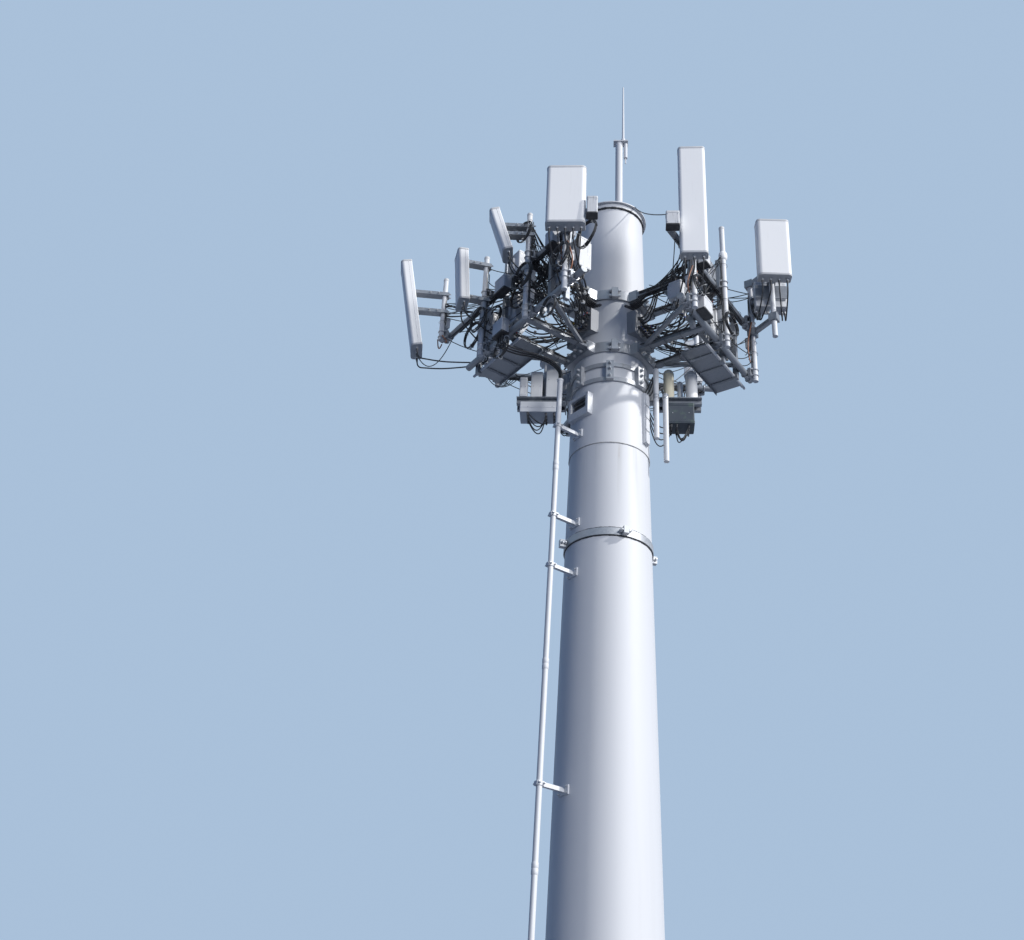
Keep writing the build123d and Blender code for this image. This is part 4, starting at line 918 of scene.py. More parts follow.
# %% [markdown]
# ## Thin leads between the steel
# Between the thick cables hang dozens of thin power, fibre and earth leads, which make the photo's dark tangle. One
# hangs as a parabola from its start to its end, pushed sideways by half a sine wave so that no two lie alike. Others
# are tied along the arms and under the face pipes, where they wander by a few millimetres between the ties.

# %% Hanging leads from the entries to the radios
rng = np.random.default_rng(11)


def hung(start, end, sag, sway, radius=0.0045, steps=15):
    """Hanging lead: start + (end - start) t, less 4 sag t (1 - t) in height, plus sway sin(pi t) to the side."""
    t = np.linspace(0, 1, steps)[:, None]
    side = np.cross(end - start, [0, 0, 1.0])
    side /= np.linalg.norm(side) + 1e-9
    path = start + (end - start) * t + side * sway * np.sin(np.pi * t)
    path[:, 2] -= (4 * sag * t * (1 - t))[:, 0]
    return bar(path, radius, 6)


hanging = []
for radio in RADIOS:
    high = radio.foot > HIGH_RADIO
    for k in range(5 if radio.sector == "left" else 4):
        x = np.clip(radio.along * 0.22, -0.17, 0.17) + rng.uniform(-0.035, 0.035)
        rise = 0.12 if high else rng.choice([0.012, -0.105])
        start = spot(at(radio.sector, x, ENTRY_FACE - 0.003, ENTRY_HEIGHT + rise))
        x = radio.along + rng.uniform(-0.42, 0.42) * radio.width
        out = 0.999 if high else rng.uniform(1.0, 1.12)
        end = spot(at(radio.sector, x, out, radio.foot - 0.001))
        sag = rng.uniform(0.05, 0.11) if high else rng.uniform(0.07, 0.17)
        hanging.append(hung(start, end, sag, rng.uniform(-0.03, 0.03)))
piece("hanging_leads", hanging, "cable_black")

# %% [markdown]
# ## Leads tied along the arms and face pipes
# Leads that go to the sector's ends follow the steel. On an arm they lie against its sides, and on a face pipe they
# hang under it, a few degrees apart. A tie is one loop around steel and leads together, every 20 cm or so.

# %% Tied leads and their ties
def wandering(start, end, push, radius=0.0048, steps=34):
    """Tied lead: a straight line plus two slow sine waves of a few millimetres, across and along the push."""
    t = np.linspace(0, 1, steps)[:, None]
    start, end, push = (np.asarray(v, float) for v in (start, end, push))
    across_run = np.cross(end - start, push)
    across_run /= np.linalg.norm(across_run)
    a, b = rng.uniform(0, 6.28, 2)
    away = 0.002 + 0.002 * np.sin(2 * np.pi * 2.6 * t + a)
    along = 0.0045 * np.sin(2 * np.pi * 1.7 * t + b)
    return bar(start + (end - start) * t + away * push + along * across_run, radius, 6, push)


def square_tie(half_wide, half_tall, radius=0.0022):
    """Loop in x, y around a bar: a rounded rectangle from four quarter circles, closed on itself."""
    loop = outline(2 * half_wide, 2 * half_tall, CORNER, CORNER, steps=5) + [0, half_tall]
    return bar(np.column_stack([loop, 0 * loop[:, 0]])[np.r_[0:20, 0:2]], radius, 5, (0, 0, 1))


LEAD_RING = 0.0455          # a lead under a face pipe, from the pipe's axis
PIPE_SPAN = {"left": (-1.40, 1.22), "right": (-0.88, 0.90), "back": (-1.38, 1.38)}
tied, arm_ties, pipe_ties = [], [], []
for sector in TURN:
    turn = spin(TURN[sector])[:3, :3]
    for height in (UPPER, LOWER):
        inner = seat_radius(height) + 0.04
        for arm in ARMS:
            for side in (-1, 1):
                for k in range(3 if height == UPPER else 2):
                    x, z = arm + side * 0.0385, height + 0.020 - 0.0125 * k
                    tied.append(wandering(turn @ [x, -inner, z], turn @ [x, 0.045 - FACE_OUT, z], turn @ [side, 0, 0]))
            arm_ties += [facing_out(at(sector, arm, out, height)) for out in np.arange(inner + 0.10, 1.16, 0.19)]
    start, end = PIPE_SPAN[sector]
    for k in range(4):
        c, s = np.cos(np.radians(17 * k - 118)), np.sin(np.radians(17 * k - 118))
        y, z = LEAD_RING * c - FACE_OUT, LEAD_RING * s + UPPER
        low, high = start + rng.uniform(0, 0.25), end - rng.uniform(0, 0.25)
        tied.append(wandering(turn @ [low, y, z], turn @ [high, y, z], turn @ [0, c, s], steps=90))
    pipe_ties += [at(sector, x, FACE_OUT, UPPER) @ spin(90, "y") for x in np.arange(start + 0.30, end - 0.2, 0.21)]
piece("tied_leads", tied, "cable_black")
pipe_tie = loop_tie(0.0475, 0.0475, 0.0024)
piece("lead_ties", [copies(square_tie(0.045, 0.036), arm_ties), copies(pipe_tie, pipe_ties)], "boot_grey")

# %% [markdown]
# ## Drip loops under the panels
# The connectors that the CAD leads don't use still have thinner control leads on a working site. Each leaves its
# panel straight down, makes a drip loop and goes up to the bundle under the face pipe, beside the panel's mast.

# %% Drip loops
drips, drip_ends = [], []
for index, panel in enumerate(PANELS):
    if panel.mast == len(MASTS[panel.sector]):
        continue
    along = MASTS[panel.sector][panel.mast].along
    inside = -np.sign(along + 0.01)
    for i, end in enumerate(panel_ends(index)):
        if i in USED.get(index, ()):
            continue
        drip_ends.append(end)
        start = spot(end, 0, 0, -0.012)
        target = spot(at(panel.sector, along + inside * (0.09 + 0.035 * i), FACE_OUT + 0.005, UPPER - 0.052))
        sag = 0.10 + 0.04 * i + max(0.0, 0.55 * (target[2] - start[2]))
        drips.append(hung(start, target, sag, 0.02 * (i - 1), 0.0055, 19))
piece("drip_loops", drips, "cable_black")
piece("drip_boots", copies(boot(0.0140, 0.0070, 0.030, 3), drip_ends), "boot_grey")
piece("drip_nuts", copies(connector_nut, drip_ends), "bolt_zinc")

# %% [markdown]
# ## Surge boxes on the masts
# Small pale boxes are strapped behind the mast pipes, one for each lead that needs lightning protection. From below
# they catch the sun between the dark leads. Each is a rounded housing with a proud lid, two glands and a strap.

# %% Surge boxes
BOX_OUT, BOX_TALL = 1.302, 0.135
box_profile = [(-0.006, 0), (-0.001, 0.002), (0.0, 0.006), (0.0, 0.74 * BOX_TALL), (0.0025, 0.745 * BOX_TALL),
               (0.0025, BOX_TALL - 0.005), (-0.001, BOX_TALL - 0.001), (-0.006, BOX_TALL)]
box = merged([moved(skin(0.085, 0.052, box_profile, 0.010, 0.010), shift(0, 0.026, 0))]
             + [moved(blank_cap, shift(x, 0, -0.010)) for x in (-0.022, 0.022)])
strap = moved(square_tie(0.036, 0.060, 0.0028), shift(0, -0.032, 0.068))
# sector, along, foot
SURGE_BOXES = [("left", -0.56, 12.84), ("left", -0.56, 13.10), ("left", 0.29, 12.80), ("left", 0.29, 13.06),
               ("left", 0.985, 12.86), ("left", -1.48, 13.52), ("right", -0.63, 12.84), ("right", 0.14, 12.92),
               ("right", 0.86, 13.02), ("back", 0.0, 12.86), ("back", -1.24, 13.52), ("back", 1.24, 13.52)]
box_places = [at(sector, along, BOX_OUT, foot) for sector, along, foot in SURGE_BOXES]
piece("surge_boxes", copies(box, box_places), "radio_housing")
piece("surge_straps", copies(strap, box_places), "bolt_zinc")
piece("surge_leads", [hung(spot(place, 0.022 * side, 0, -0.012), spot(place, 0.05 * side, 0.03, -0.10),
                           0.03, 0.0, 0.0042, 9) for place in box_places for side in (-1, 1)], "cable_black")

# %% [markdown]
# ## Risers on the masts
# Leads climb each mast pipe to its panel, tied to the pipe's sides. They are the same wandering leads as on the arms,
# with a round tie every 25 cm. A few more leads cross from the masts to the radios in short hanging loops.

# %% Risers and crossing loops
RISER_HEAD = {"left": 14.05, "right": 14.05, "back": 13.9}
risers, riser_ties, crossing = [], [], []
for sector, masts in MASTS.items():
    turn = spin(TURN[sector])[:3, :3]
    for mast in masts:
        low = max(mast.foot, 12.55) + 0.16
        high = min(mast.foot + mast.length - 0.10, RISER_HEAD[sector])
        for angle in np.radians((150, 172, 8, 30)):
            push = turn @ [np.cos(angle), np.sin(angle), 0]
            axis = turn @ [mast.along, -MAST_OUT, 0] + 0.0415 * push
            start, end = low + rng.uniform(0, 0.12), high - rng.uniform(0, 0.35)
            risers.append(wandering(axis + [0, 0, start], axis + [0, 0, end], push, steps=46))
        riser_ties += [at(sector, mast.along, MAST_OUT, z) for z in np.arange(low + 0.22, high - 0.3, 0.25)
                       if min(abs(z - UPPER), abs(z - LOWER)) > 0.09]
for radio in RADIOS:
    near = min((mast.along for mast in MASTS[radio.sector]), key=lambda along: abs(along - radio.along))
    beside = near + 0.036 * np.sign(radio.along - near + 0.001)
    for k in range(3):
        start = spot(at(radio.sector, radio.along + (k - 1) * 0.3 * radio.width, 1.125, radio.foot - 0.001))
        end = spot(at(radio.sector, beside, 1.345, radio.foot - 0.04 - 0.10 * k))
        crossing.append(hung(start, end, 0.09 + 0.03 * k, 0.015 * (k - 1), 0.005))
piece("mast_risers", risers, "cable_black")
piece("riser_ties", copies(loop_tie(0.0500, 0.0400, 0.0022), riser_ties), "boot_grey")
piece("crossing_leads", crossing, "cable_black")

# %% [markdown]
# ## Bolts of the panels' brackets
# A bracket clamps its mast with a bolt at each side, and its arms carry a pivot bolt, so that the tilt can be set.
# The places follow from each panel's length, tilt and bracket shares.

# %% Bracket bolts
CLOSE, WIDE = (0.47, 0.68), (0.14, 0.84)    # bracket heights as shares of a panel's length
bracket_bolts = []
for index, panel in enumerate(PANELS):
    for share in CLOSE if index in (0, 2) else WIDE:
        centre = panel_mast(panel) @ shift(0, 0, share * panel.length * np.cos(np.radians(panel.tilt)))
        for side in (-1, 1):
            bracket_bolts.append(centre @ shift(side * 0.034, 0.0505, 0) @ spin(-90, "x"))
            bracket_bolts.append(sideways(centre @ shift(side * 0.0455, -0.075, 0), side))
            if panel.reach > 0.15:
                bracket_bolts.append(sideways(centre @ shift(side * 0.0455, 0.03 - panel.reach, 0), side))
piece("bracket_bolts", copies(nut_m12, bracket_bolts), "bolt_zinc")

# %% [markdown]
# ## Conduit couplings and clip screws
# The conduit comes in lengths that join in sleeves, and every arm is bolted through its foot pad. The conduit leans
# with the pole's taper, so its pieces use the same lean.

# %% Conduit pieces
CONDUIT_AZIMUTH, STAND_OFF = -50, 0.28
BRACKET_HEIGHTS = (0.6, 2.4, 4.3, 6.1, 7.75, 9.95, 10.52, 11.6)
SLEEVE_HEIGHTS = (1.5, 3.3, 5.2, 7.0, 8.9, 11.1)
LEAN = np.degrees(np.arctan(TAPER))


def beside_conduit(height, x=0.0, y=0.0):
    """Matrix beside the conduit's axis, upright; the axis is as far out as the lower taper and the stand-off."""
    return spin(CONDUIT_AZIMUTH) @ shift(x, y - (FOOT_RADIUS - TAPER * height + STAND_OFF), height)


def on_conduit(height):
    """Matrix on the conduit's axis, leaning in as the pole tapers."""
    return beside_conduit(height) @ spin(-LEAN, "x")


coupling_sleeve = turned_profile([0, 0.0285, 0.0320, 0.0320, 0.0300, 0.0300, 0.0320, 0.0320, 0.0285, 0],
                                 [-0.055, -0.055, -0.050, -0.006, -0.003, 0.003, 0.006, 0.050, 0.055, 0.055], 28)
bushing = turned_profile([0, 0.0285, 0.0335, 0.0335, 0.0300, 0], [-0.030, -0.030, -0.026, -0.004, 0.0, 0.0], 28)
sleeves = copies(coupling_sleeve, [on_conduit(z) for z in SLEEVE_HEIGHTS])
ends = [moved(bushing, on_conduit(12.2)), moved(coupling_sleeve, on_conduit(0.12))]
piece("conduit_sleeves", [sleeves, *ends], "conduit_white")
conduit_nuts = []
for height in BRACKET_HEIGHTS:
    pad = spin(CONDUIT_AZIMUTH) @ shift(0, -pole_radius(height - 0.03) - 0.012, height)
    conduit_nuts += [facing_out(pad @ shift(x, 0, z)) for x in (-0.054, 0.054) for z in (-0.028, 0.028)]
    conduit_nuts += [sideways(beside_conduit(height, side * 0.0342, y), side)
                     for side in (-1, 1) for y in (-0.024, 0.024)]
piece("conduit_nuts", copies(nut_m12, conduit_nuts), "bolt_zinc")

# %% [markdown]
# ## The port, the strip and their screws
# The port under the ring is closed by a grey plate with three long rubber boots, which show as dark oblongs in the
# photo. A boot is a superellipse that shrinks towards its tip. The strip's cover plates have a screw at each corner.

# %% Port boots, plate and screws
def oblong(wide, tall, proud, rings=6, steps=36):
    """Rounded oblong facing -y: superellipse outline, shrinking as 1 - 0.42 s^3 while it stands out by s proud."""
    t = -2 * np.pi * np.arange(steps) / steps
    s = np.linspace(0, 1, rings)[:, None]
    shrink = 1 - 0.42 * s ** 3
    x = shrink * wide / 2 * np.sign(np.cos(t)) * np.abs(np.cos(t)) ** 0.55
    z = shrink * tall / 2 * np.sign(np.sin(t)) * np.abs(np.sin(t)) ** 0.55
    points = np.stack([x, -s * proud + 0 * x, z], -1)
    ends = [np.tile([0.0, y, 0.0], (1, steps, 1)) for y in (0.0, -proud)]
    return wrapped(np.concatenate([ends[0], points, ends[1]]))


PORT_HEIGHT, STRIP_AZIMUTH, STRIP_FOOT, PLATE_TALL = 11.93, 60, 11.52, 0.16
port = spin(-46) @ shift(0, -pole_radius(PORT_HEIGHT), PORT_HEIGHT)
piece("port_boots", [moved(oblong(0.205, 0.036, 0.034), port @ shift(0, 0.006, z)) for z in (-0.018, 0.028, 0.074)],
      "cable_black")
piece("port_plate", moved(oblong(0.228, 0.142, 0.012), port @ shift(0, 0.004, 0.028)), "entry_grey")
rim_screws = [(x, z) for x in (-0.133, 0, 0.133) for z in (-0.118, 0.118)] + [(-0.133, 0), (0.133, 0)]
port_screws = [facing_out(port @ shift(x, -0.0448, z)) for x, z in rim_screws]
strip = spin(STRIP_AZIMUTH) @ shift(0, -pole_radius(11.84) - 0.0458, STRIP_FOOT)
port_screws += [facing_out(strip @ shift(x, 0, PLATE_TALL * i + z))
                for i in range(4) for x in (-0.029, 0.029) for z in (0.020, 0.140)]
piece("port_screws", copies(screw, port_screws), "bolt_zinc")
strip_cables = []
for i in range(3):
    start = spot(strip, 0.030 * (i - 1), 0.018, 0.635)
    end = spot(spin(STRIP_AZIMUTH + 14 + 4 * i), 0, -pole_radius(12.4) - 0.075, 12.46)
    strip_cables.append(hung(start, end, 0.03 + 0.01 * i, 0.02 * (i - 1), 0.008))
piece("strip_cables", strip_cables, "cable_black")

# %% [markdown]
# ## Gear on the lower shelves
# The round-topped antennas have a base ring and a seam where the dome meets the tube. The housings have lid rims and
# rubber boots, and their leads sag under the shelf and up again, as the dark loops under the photo's right shelf do.

# %% Rings of the round-topped antennas
SHELF, SHELF_IN = 12.20, pole_radius(RING_HEIGHT) + 0.0603
# out, across, radius, height of the seam
ROUND_TOPS = [(0.42, 0, 0.065, 0.37), (0.17, -0.03, 0.058, 0.37), (0.30, 0.09, 0.030, 0.33)]
rings = []
for out, offset, radius, seam_height in ROUND_TOPS:
    place = spin(90) @ shift(offset, -SHELF_IN - out, SHELF)
    wide, slim = radius + 0.010, radius - 0.002
    foot = turned_profile([0, wide, wide, radius + 0.002, slim, 0], [0.0005, 0.0005, 0.010, 0.018, 0.022, 0.022], 36)
    seam = turned_profile([slim, radius + 0.0022, radius + 0.0022, slim],
                          [seam_height + rise for rise in (-0.010, -0.007, 0.001, 0.004)], 36)
    rings += [moved(foot, place), moved(seam, place)]
piece("radome_rings", rings, "cap_grey")

# %% Rims, screws, boots and loops of the shelves' housings
# side, on or under the shelf, out, across, depth, width, height
SHELF_BOXES = [(90, -1, 0.29, 0, 0.29, 0.22, 0.26), (-90, 1, 0.15, 0, 0.15, 0.20, 0.50),
               (-90, 1, 0.33, -0.04, 0.13, 0.18, 0.39), (-90, 1, 0.47, 0.06, 0.08, 0.16, 0.25),
               (-90, -1, 0.28, 0, 0.44, 0.24, 0.13)]
UNDER_SHELF = SHELF - 0.0623
box_rims, box_boots, box_screws, shelf_loops = [], [], [], []
for side, level, out, offset, deep, wide, tall in SHELF_BOXES:
    base = SHELF if level > 0 else UNDER_SHELF - tall
    place = spin(side) @ shift(offset, -SHELF_IN - out + deep / 2, base)
    rim_feet = (0.010, tall - 0.034) if tall > 0.2 else (0.05,)
    box_rims += [moved(rim(wide, deep, low, low + 0.024, 0.003, 0.004), place) for low in rim_feet]
    for x in (-0.3, 0.3):
        box_screws += [facing_out(place @ shift(x * wide, -deep - 0.0005, z)) for z in (0.3 * tall, 0.75 * tall)]
        box_screws += [sideways(place @ shift(s * (wide / 2 + 0.0005), (x - 0.5) * deep, 0.5 * tall), s)
                       for s in (-1, 1)]
    if level > 0:
        continue
    for k, share in enumerate((-0.36, -0.12, 0.12, 0.36)):
        x, back_x = share * wide, (0.08 - share) * wide
        home = spot(spin(side - 22 + 6 * k), 0, -pole_radius(12.0) - 0.012, 12.06 - 0.05 * k)
        sag = 0.10 + 0.03 * k
        shelf_loops.append(hung(spot(place, x, -0.35 * deep, -0.001), spot(place, back_x, -0.80 * deep, -0.001),
                                sag, 0.03 * (k - 1.5), 0.0065, 19))
        shelf_loops.append(hung(spot(place, x, -0.15 * deep, -0.001), home, sag + 0.02, 0.03, 0.0065, 19))
        box_boots += [place @ shift(bx, by * deep, 0.0) for bx, by in ((x, -0.15), (x, -0.35), (back_x, -0.80))]
piece("shelf_box_rims", box_rims, "shelf_boxes")
piece("shelf_box_screws", copies(screw, box_screws), "bolt_zinc")
piece("shelf_loops", shelf_loops, "cable_black")
piece("shelf_boots", copies(boot(0.0125, 0.0085, 0.034, 3), box_boots), "boot_grey")

# %% Nuts of the shelves and bands of the upright pipes
shelf_nuts = []
for side, length in ((90, 0.52), (-90, 0.54)):
    for x in (-0.06, 0.06):
        shelf_nuts += [spin(side) @ shift(x, -SHELF_IN - out, SHELF) for out in (0.035, length - 0.025)]
    shelf_nuts += [facing_out(spin(side) @ shift(x, -SHELF_IN - 0.012, SHELF - 0.035)) for x in (-0.085, 0, 0.085)]
PIPE_ASIDE = 0.160 + GAP
band_places = [spin(90) @ shift(-PIPE_ASIDE, -SHELF_IN - out, z)
               for out in (0.025, 0.125) for z in (SHELF - 0.006, SHELF - 0.045)]
pipe_band = turned_profile([0.029, 0.0335, 0.0345, 0.0335, 0.029], [-0.012, -0.011, 0, 0.011, 0.012], 28)
piece("shelf_nuts", [copies(nut_m12, shelf_nuts), copies(pipe_band, band_places)], "bolt_zinc")

# %% [markdown]
# ## The cap and the top mast
# The cap is bolted down around its rim and has a black rubber seal under its skirt, whose black ring is painted
# shade: the dark line under the photo's cap. The mast stands on four bolts, the rod and the short antenna are
# clamped to its plate, and one thin earth lead hangs from the rim to the end box of the right sector.

# %% Cap bolts, seal, mast bolts and the earth lead
CAP_TOP, MAST_PLATE = 14.8123, 1.3103
top_mast = shift(0.09, -0.06, CAP_TOP)
cap_bolts = [spin(15 + 30 * i) @ shift(0, -0.385, CAP_TOP) for i in range(12)]
cap_bolts += [top_mast @ spin(45 + 90 * i) @ shift(0, -0.072, 0.0163) for i in range(4)]
cap_bolts += [top_mast @ shift(x, y, MAST_PLATE) for x in (-0.05, 0.09) for y in (-0.038, 0.038)]
piece("cap_bolts", copies(nut_m12, cap_bolts), "bolt_zinc")
# the seal's black ring is painted shade under the cap's skirt
piece("cap_seal_painted_shade", ripple_ring(pole_radius(14.74) + 0.010, 14.736, 0.011), "cable_black")
rim_point = spot(spin(42), 0, -pole_radius(POLE_HEIGHT) - 0.047, 14.806)
end_box = at("right", -0.97, 1.2968, 13.55) @ spin(-60)
piece("earth_lead", hung(rim_point, spot(end_box, 0, -0.05, 0.001), 0.07, 0.06, 0.006, 31), "boot_grey")
bulb = turned_profile([0.0300, 0.036, 0.046, 0.050, 0.048, 0.040, 0.0300],
                      [0.0, 0.004, 0.022, 0.055, 0.085, 0.106, 0.116], 30)
piece("mast_bulb", moved(bulb, at("right", 0.14, MAST_OUT, 13.76)), "radome_white")
pipe_cap = turned_profile([0, 0.0315, 0.0325, 0.0325, 0.030, 0.018, 0],
                          [-0.030, -0.030, -0.026, -0.002, 0.004, 0.009, 0.0105], 24)
tops = [at(sector, mast.along, MAST_OUT, mast.foot + mast.length) for sector, masts in MASTS.items() for mast in masts]
tops.append(at("right", OUTER_MAST.along, OUTER_OUT, OUTER_MAST.foot + OUTER_MAST.length))
piece("pipe_caps", copies(pipe_cap, tops), "cap_grey", "pipe_white")

# %% [markdown]
# ## Small housings on the face pipes
# The amplifiers on the face pipes are boxes with a lid rim and four screws on the outer face, made like the radios'
# rims. Each stands on a black rubber base whose black is also painted shade, the end box's dark underside in the
# photo.

# %% Amplifier rims and bases
# sector, pipe height, along, turn, foot, width, height
AMPLIFIERS = [("left", UPPER, -0.20, 0, -0.19, 0.20, 0.19), ("left", UPPER, 0.725, 0, -0.17, 0.14, 0.19),
              ("left", UPPER, 1.345, 52, -0.22, 0.11, 0.23), ("left", LOWER, -0.19, 0, -0.06, 0.19, 0.19),
              ("right", UPPER, -0.33, 0, -0.06, 0.11, 0.14), ("right", UPPER, -0.97, -60, -0.04, 0.14, 0.19),
              ("right", LOWER, -0.37, 0, -0.01, 0.20, 0.19)]
AMP_OUT, AMP_DEEP = FACE_OUT + FACE_PIPE / 2 + GAP, 0.10
base_profile = [(-0.006, -0.006), (-0.003, -0.006), (0.0028, -0.003), (0.0028, 0.014), (-0.002, 0.017)]
amp_rims, amp_shade_bases, amp_screws = [], [], []
for sector, pipe, along, turn, foot, wide, tall in AMPLIFIERS:
    place = at(sector, along, AMP_OUT, pipe + foot) @ spin(turn)
    amp_rims.append(moved(rim(wide, AMP_DEEP, tall - 0.030, tall - 0.009), place))
    # the black base paints shade on each housing's underside
    amp_shade_bases.append(moved(skin(wide, AMP_DEEP, base_profile), place))
    amp_screws += [facing_out(place @ shift(x * wide, -AMP_DEEP - 0.0005, z))
                   for x in (-0.38, 0.38) for z in (0.035, tall - 0.045)]
piece("amplifier_rims", amp_rims, "radio_housing")
piece("amplifier_bases_painted_shade", amp_shade_bases, "cable_black")
piece("amplifier_screws", copies(screw, amp_screws), "bolt_zinc")

# %% [markdown]
# ## Slack coils and the tangle
# Every radio's leads are longer than their way, and the rest is wound into coils that are tied to the pipes. A coil
# is a circle whose radius and depth drift as it goes round. Between the coils dozens of loose leads cross from the
# arms to the masts. Their ends are drawn at random, and a lead that would pass through a radio or an arm is dropped.

# %% Slack coils
def coil(radius, turns):
    """Circle in x, z of several turns: r = radius (1 + 0.05 sin(0.37 t + a) + 0.02 sin 2.6 t), with a depth of
    12 mm cos(0.71 t + b) + 6 mm sin(1.9 t + a)."""
    t = np.linspace(0, 2 * np.pi * turns, 26 * turns)
    a, b = rng.uniform(0, 6.28, 2)
    r = radius * (1 + 0.05 * np.sin(0.37 * t + a) + 0.02 * np.sin(2.6 * t))
    depth = 0.012 * np.cos(0.71 * t + b) + 0.006 * np.sin(1.9 * t + a)
    return bar(np.stack([r * np.cos(t), depth, 0.92 * r * np.sin(t)], -1), 0.0056, 6, (0, 1, 0))


INNER_COIL, FACE_COIL, MAST_COIL = 1.185, 1.325, 1.425      # behind, under and before the steel that holds them
# sector, along, out, height, radius, turns
COILS = [("left", -1.05, INNER_COIL, 13.22, 0.17, 5), ("left", -0.62, INNER_COIL, 13.20, 0.15, 6),
         ("left", -0.08, INNER_COIL, 13.20, 0.18, 6), ("left", 0.16, INNER_COIL, 13.23, 0.15, 5),
         ("left", 0.66, INNER_COIL, 13.20, 0.16, 6), ("left", 1.10, INNER_COIL, 13.22, 0.16, 5),
         ("left", -0.56, MAST_COIL, 13.02, 0.15, 5), ("left", 0.29, MAST_COIL, 13.08, 0.16, 6),
         ("left", 0.985, MAST_COIL, 12.90, 0.14, 5), ("left", -0.20, FACE_COIL, 12.46, 0.13, 4),
         ("left", 0.66, FACE_COIL, 12.47, 0.12, 4), ("left", 0.29, MAST_COIL, 13.70, 0.13, 4),
         ("right", -0.08, INNER_COIL, 13.20, 0.17, 6), ("right", 0.62, INNER_COIL, 13.20, 0.16, 5),
         ("right", 0.14, MAST_COIL, 12.84, 0.14, 5), ("right", -0.63, MAST_COIL, 12.82, 0.12, 4),
         ("right", 0.86, MAST_COIL, 13.55, 0.13, 4), ("back", -0.62, INNER_COIL, 13.20, 0.16, 5),
         ("back", 0.62, INNER_COIL, 13.20, 0.16, 5), ("back", 0.0, MAST_COIL, 12.86, 0.14, 5)]
coils, coil_ties = [], []
for sector, along, out, height, radius, turns in COILS:
    place = at(sector, along, out, height)
    coils.append(moved(coil(radius, turns), place))
    coil_ties += [place @ spin(-angle, "y") @ shift(radius * squash, 0, 0)
                  for angle, squash in ((35, 1), (145, 1), (270, 0.92))]
piece("slack_coils", coils, "cable_black")
piece("coil_ties", copies(loop_tie(0.024, 0.026, 0.0032, 15), coil_ties), "tape_white")

# %% Loose leads between the arms and the masts
WANTED = {"left": 110, "right": 54, "back": 40}
LOOSE_SPAN = {"left": (-1.40, 1.20), "right": (-0.86, 0.90), "back": (-1.36, 1.36)}
TIE_STEP = 0.14
TRIES = 9                   # paths drawn for each lead that is wanted


def clear(paths, low, high):
    """Keeps the paths with no point inside the box."""
    return paths[~((paths > low) & (paths < high)).all(-1).any(-1)]


loose = []
share = np.linspace(0, 1, 17)[:, None]
for sector, wanted in WANTED.items():
    count = TRIES * wanted
    low_tie, high_tie = (x / TIE_STEP for x in LOOSE_SPAN[sector])
    masts = np.array(MASTS[sector])[rng.integers(0, len(MASTS[sector]), count)]
    to_mast = rng.uniform(0, 1, count) < 0.65
    low = np.maximum(masts[:, 1] + 0.06, 12.80)
    high = np.minimum(masts[:, 1] + masts[:, 2] - 0.10, 13.88)
    mast_z = low + (rng.choice([0.08, 0.36, 0.64, 0.94], count) + rng.uniform(-0.012, 0.012, count)) * (high - low)
    mast_x = masts[:, 0] + rng.choice([-0.033, 0.033], count)
    pipe_x = TIE_STEP * rng.integers(low_tie, high_tie, count) + rng.uniform(-0.012, 0.012, count)
    end = np.where(to_mast, [mast_x, np.full(count, MAST_OUT - 0.005), mast_z],
                   [pipe_x, np.full(count, FACE_OUT - 0.006), np.full(count, UPPER - 0.038)]).T
    start_x = rng.choice([-0.235, -0.125, 0.125, 0.235], count)
    start_out = rng.choice([0.62, 0.75, 0.88, 1.01], count) + rng.uniform(-0.015, 0.015, count)
    start_z = rng.choice([UPPER - 0.03, LOWER + 0.07, UPPER + 0.045], count)
    start = np.stack([start_x, start_out, start_z], -1)
    paths = start[:, None] + (end - start)[:, None] * share
    paths[..., 2] -= 4 * rng.uniform(0.04, 0.20, (count, 1)) * (share * (1 - share))[:, 0]
    paths[..., 1] -= 0.05 * rng.uniform(-1, 1, (count, 1)) * np.sin(np.pi * share[:, 0])
    for radio in (radio for radio in RADIOS if radio.sector == sector):
        half, head = radio.width / 2 + 0.012, radio.foot + radio.tall + 0.03
        paths = clear(paths, (radio.along - half, RADIO_FACE - RADIO_DEEP - 0.012, radio.foot - 0.01),
                      (radio.along + half, RADIO_FACE + 0.012, head))
    for arm in ARMS:
        for height in (UPPER, LOWER):
            paths = clear(paths, (arm - 0.041, 0.3, height - 0.041), (arm + 0.041, 1.3, height + 0.041))
    paths = clear(paths, (-9, 0.83, 12.0), (9, 9, 12.74))[:wanted] * (1, -1, 1)    # the deck and what is under it
    print(sector, len(paths), "loose leads")
    loose += [bar(path, 0.0050, 6) for path in paths @ spin(TURN[sector])[:3, :3].T]
piece("loose_leads", loose, "cable_black")

# %% [markdown]
# ## Sheaves under the near arms
# The photo's thickest dark lines run under the near upper arm of each side sector. They are sheaves of five cables
# that leave the pole through rubber grommets, lie under the arm and drop onto a radio. A rough polyline becomes a
# cable's bend by sampling it evenly and averaging neighbouring samples.

# %% Sheaves, grommets and boots
def eased(points, steps=70, soft=9):
    """Smooth path: the polyline sampled evenly by length, its ends repeated, then a moving average of soft samples."""
    length = np.r_[0, np.cumsum(np.linalg.norm(np.diff(points, axis=0), axis=1))]
    even = np.stack([np.interp(np.linspace(0, length[-1], steps), length, column) for column in points.T], -1)
    padded = np.concatenate([2 * even[0] - even[soft // 2:0:-1], even, 2 * even[-1] - even[-2:-2 - soft // 2:-1]])
    return np.stack([np.convolve(column, np.ones(soft) / soft, "valid") for column in padded.T], -1)


SHEAF_HEIGHT, SHEAF_END = 13.27, 1.06
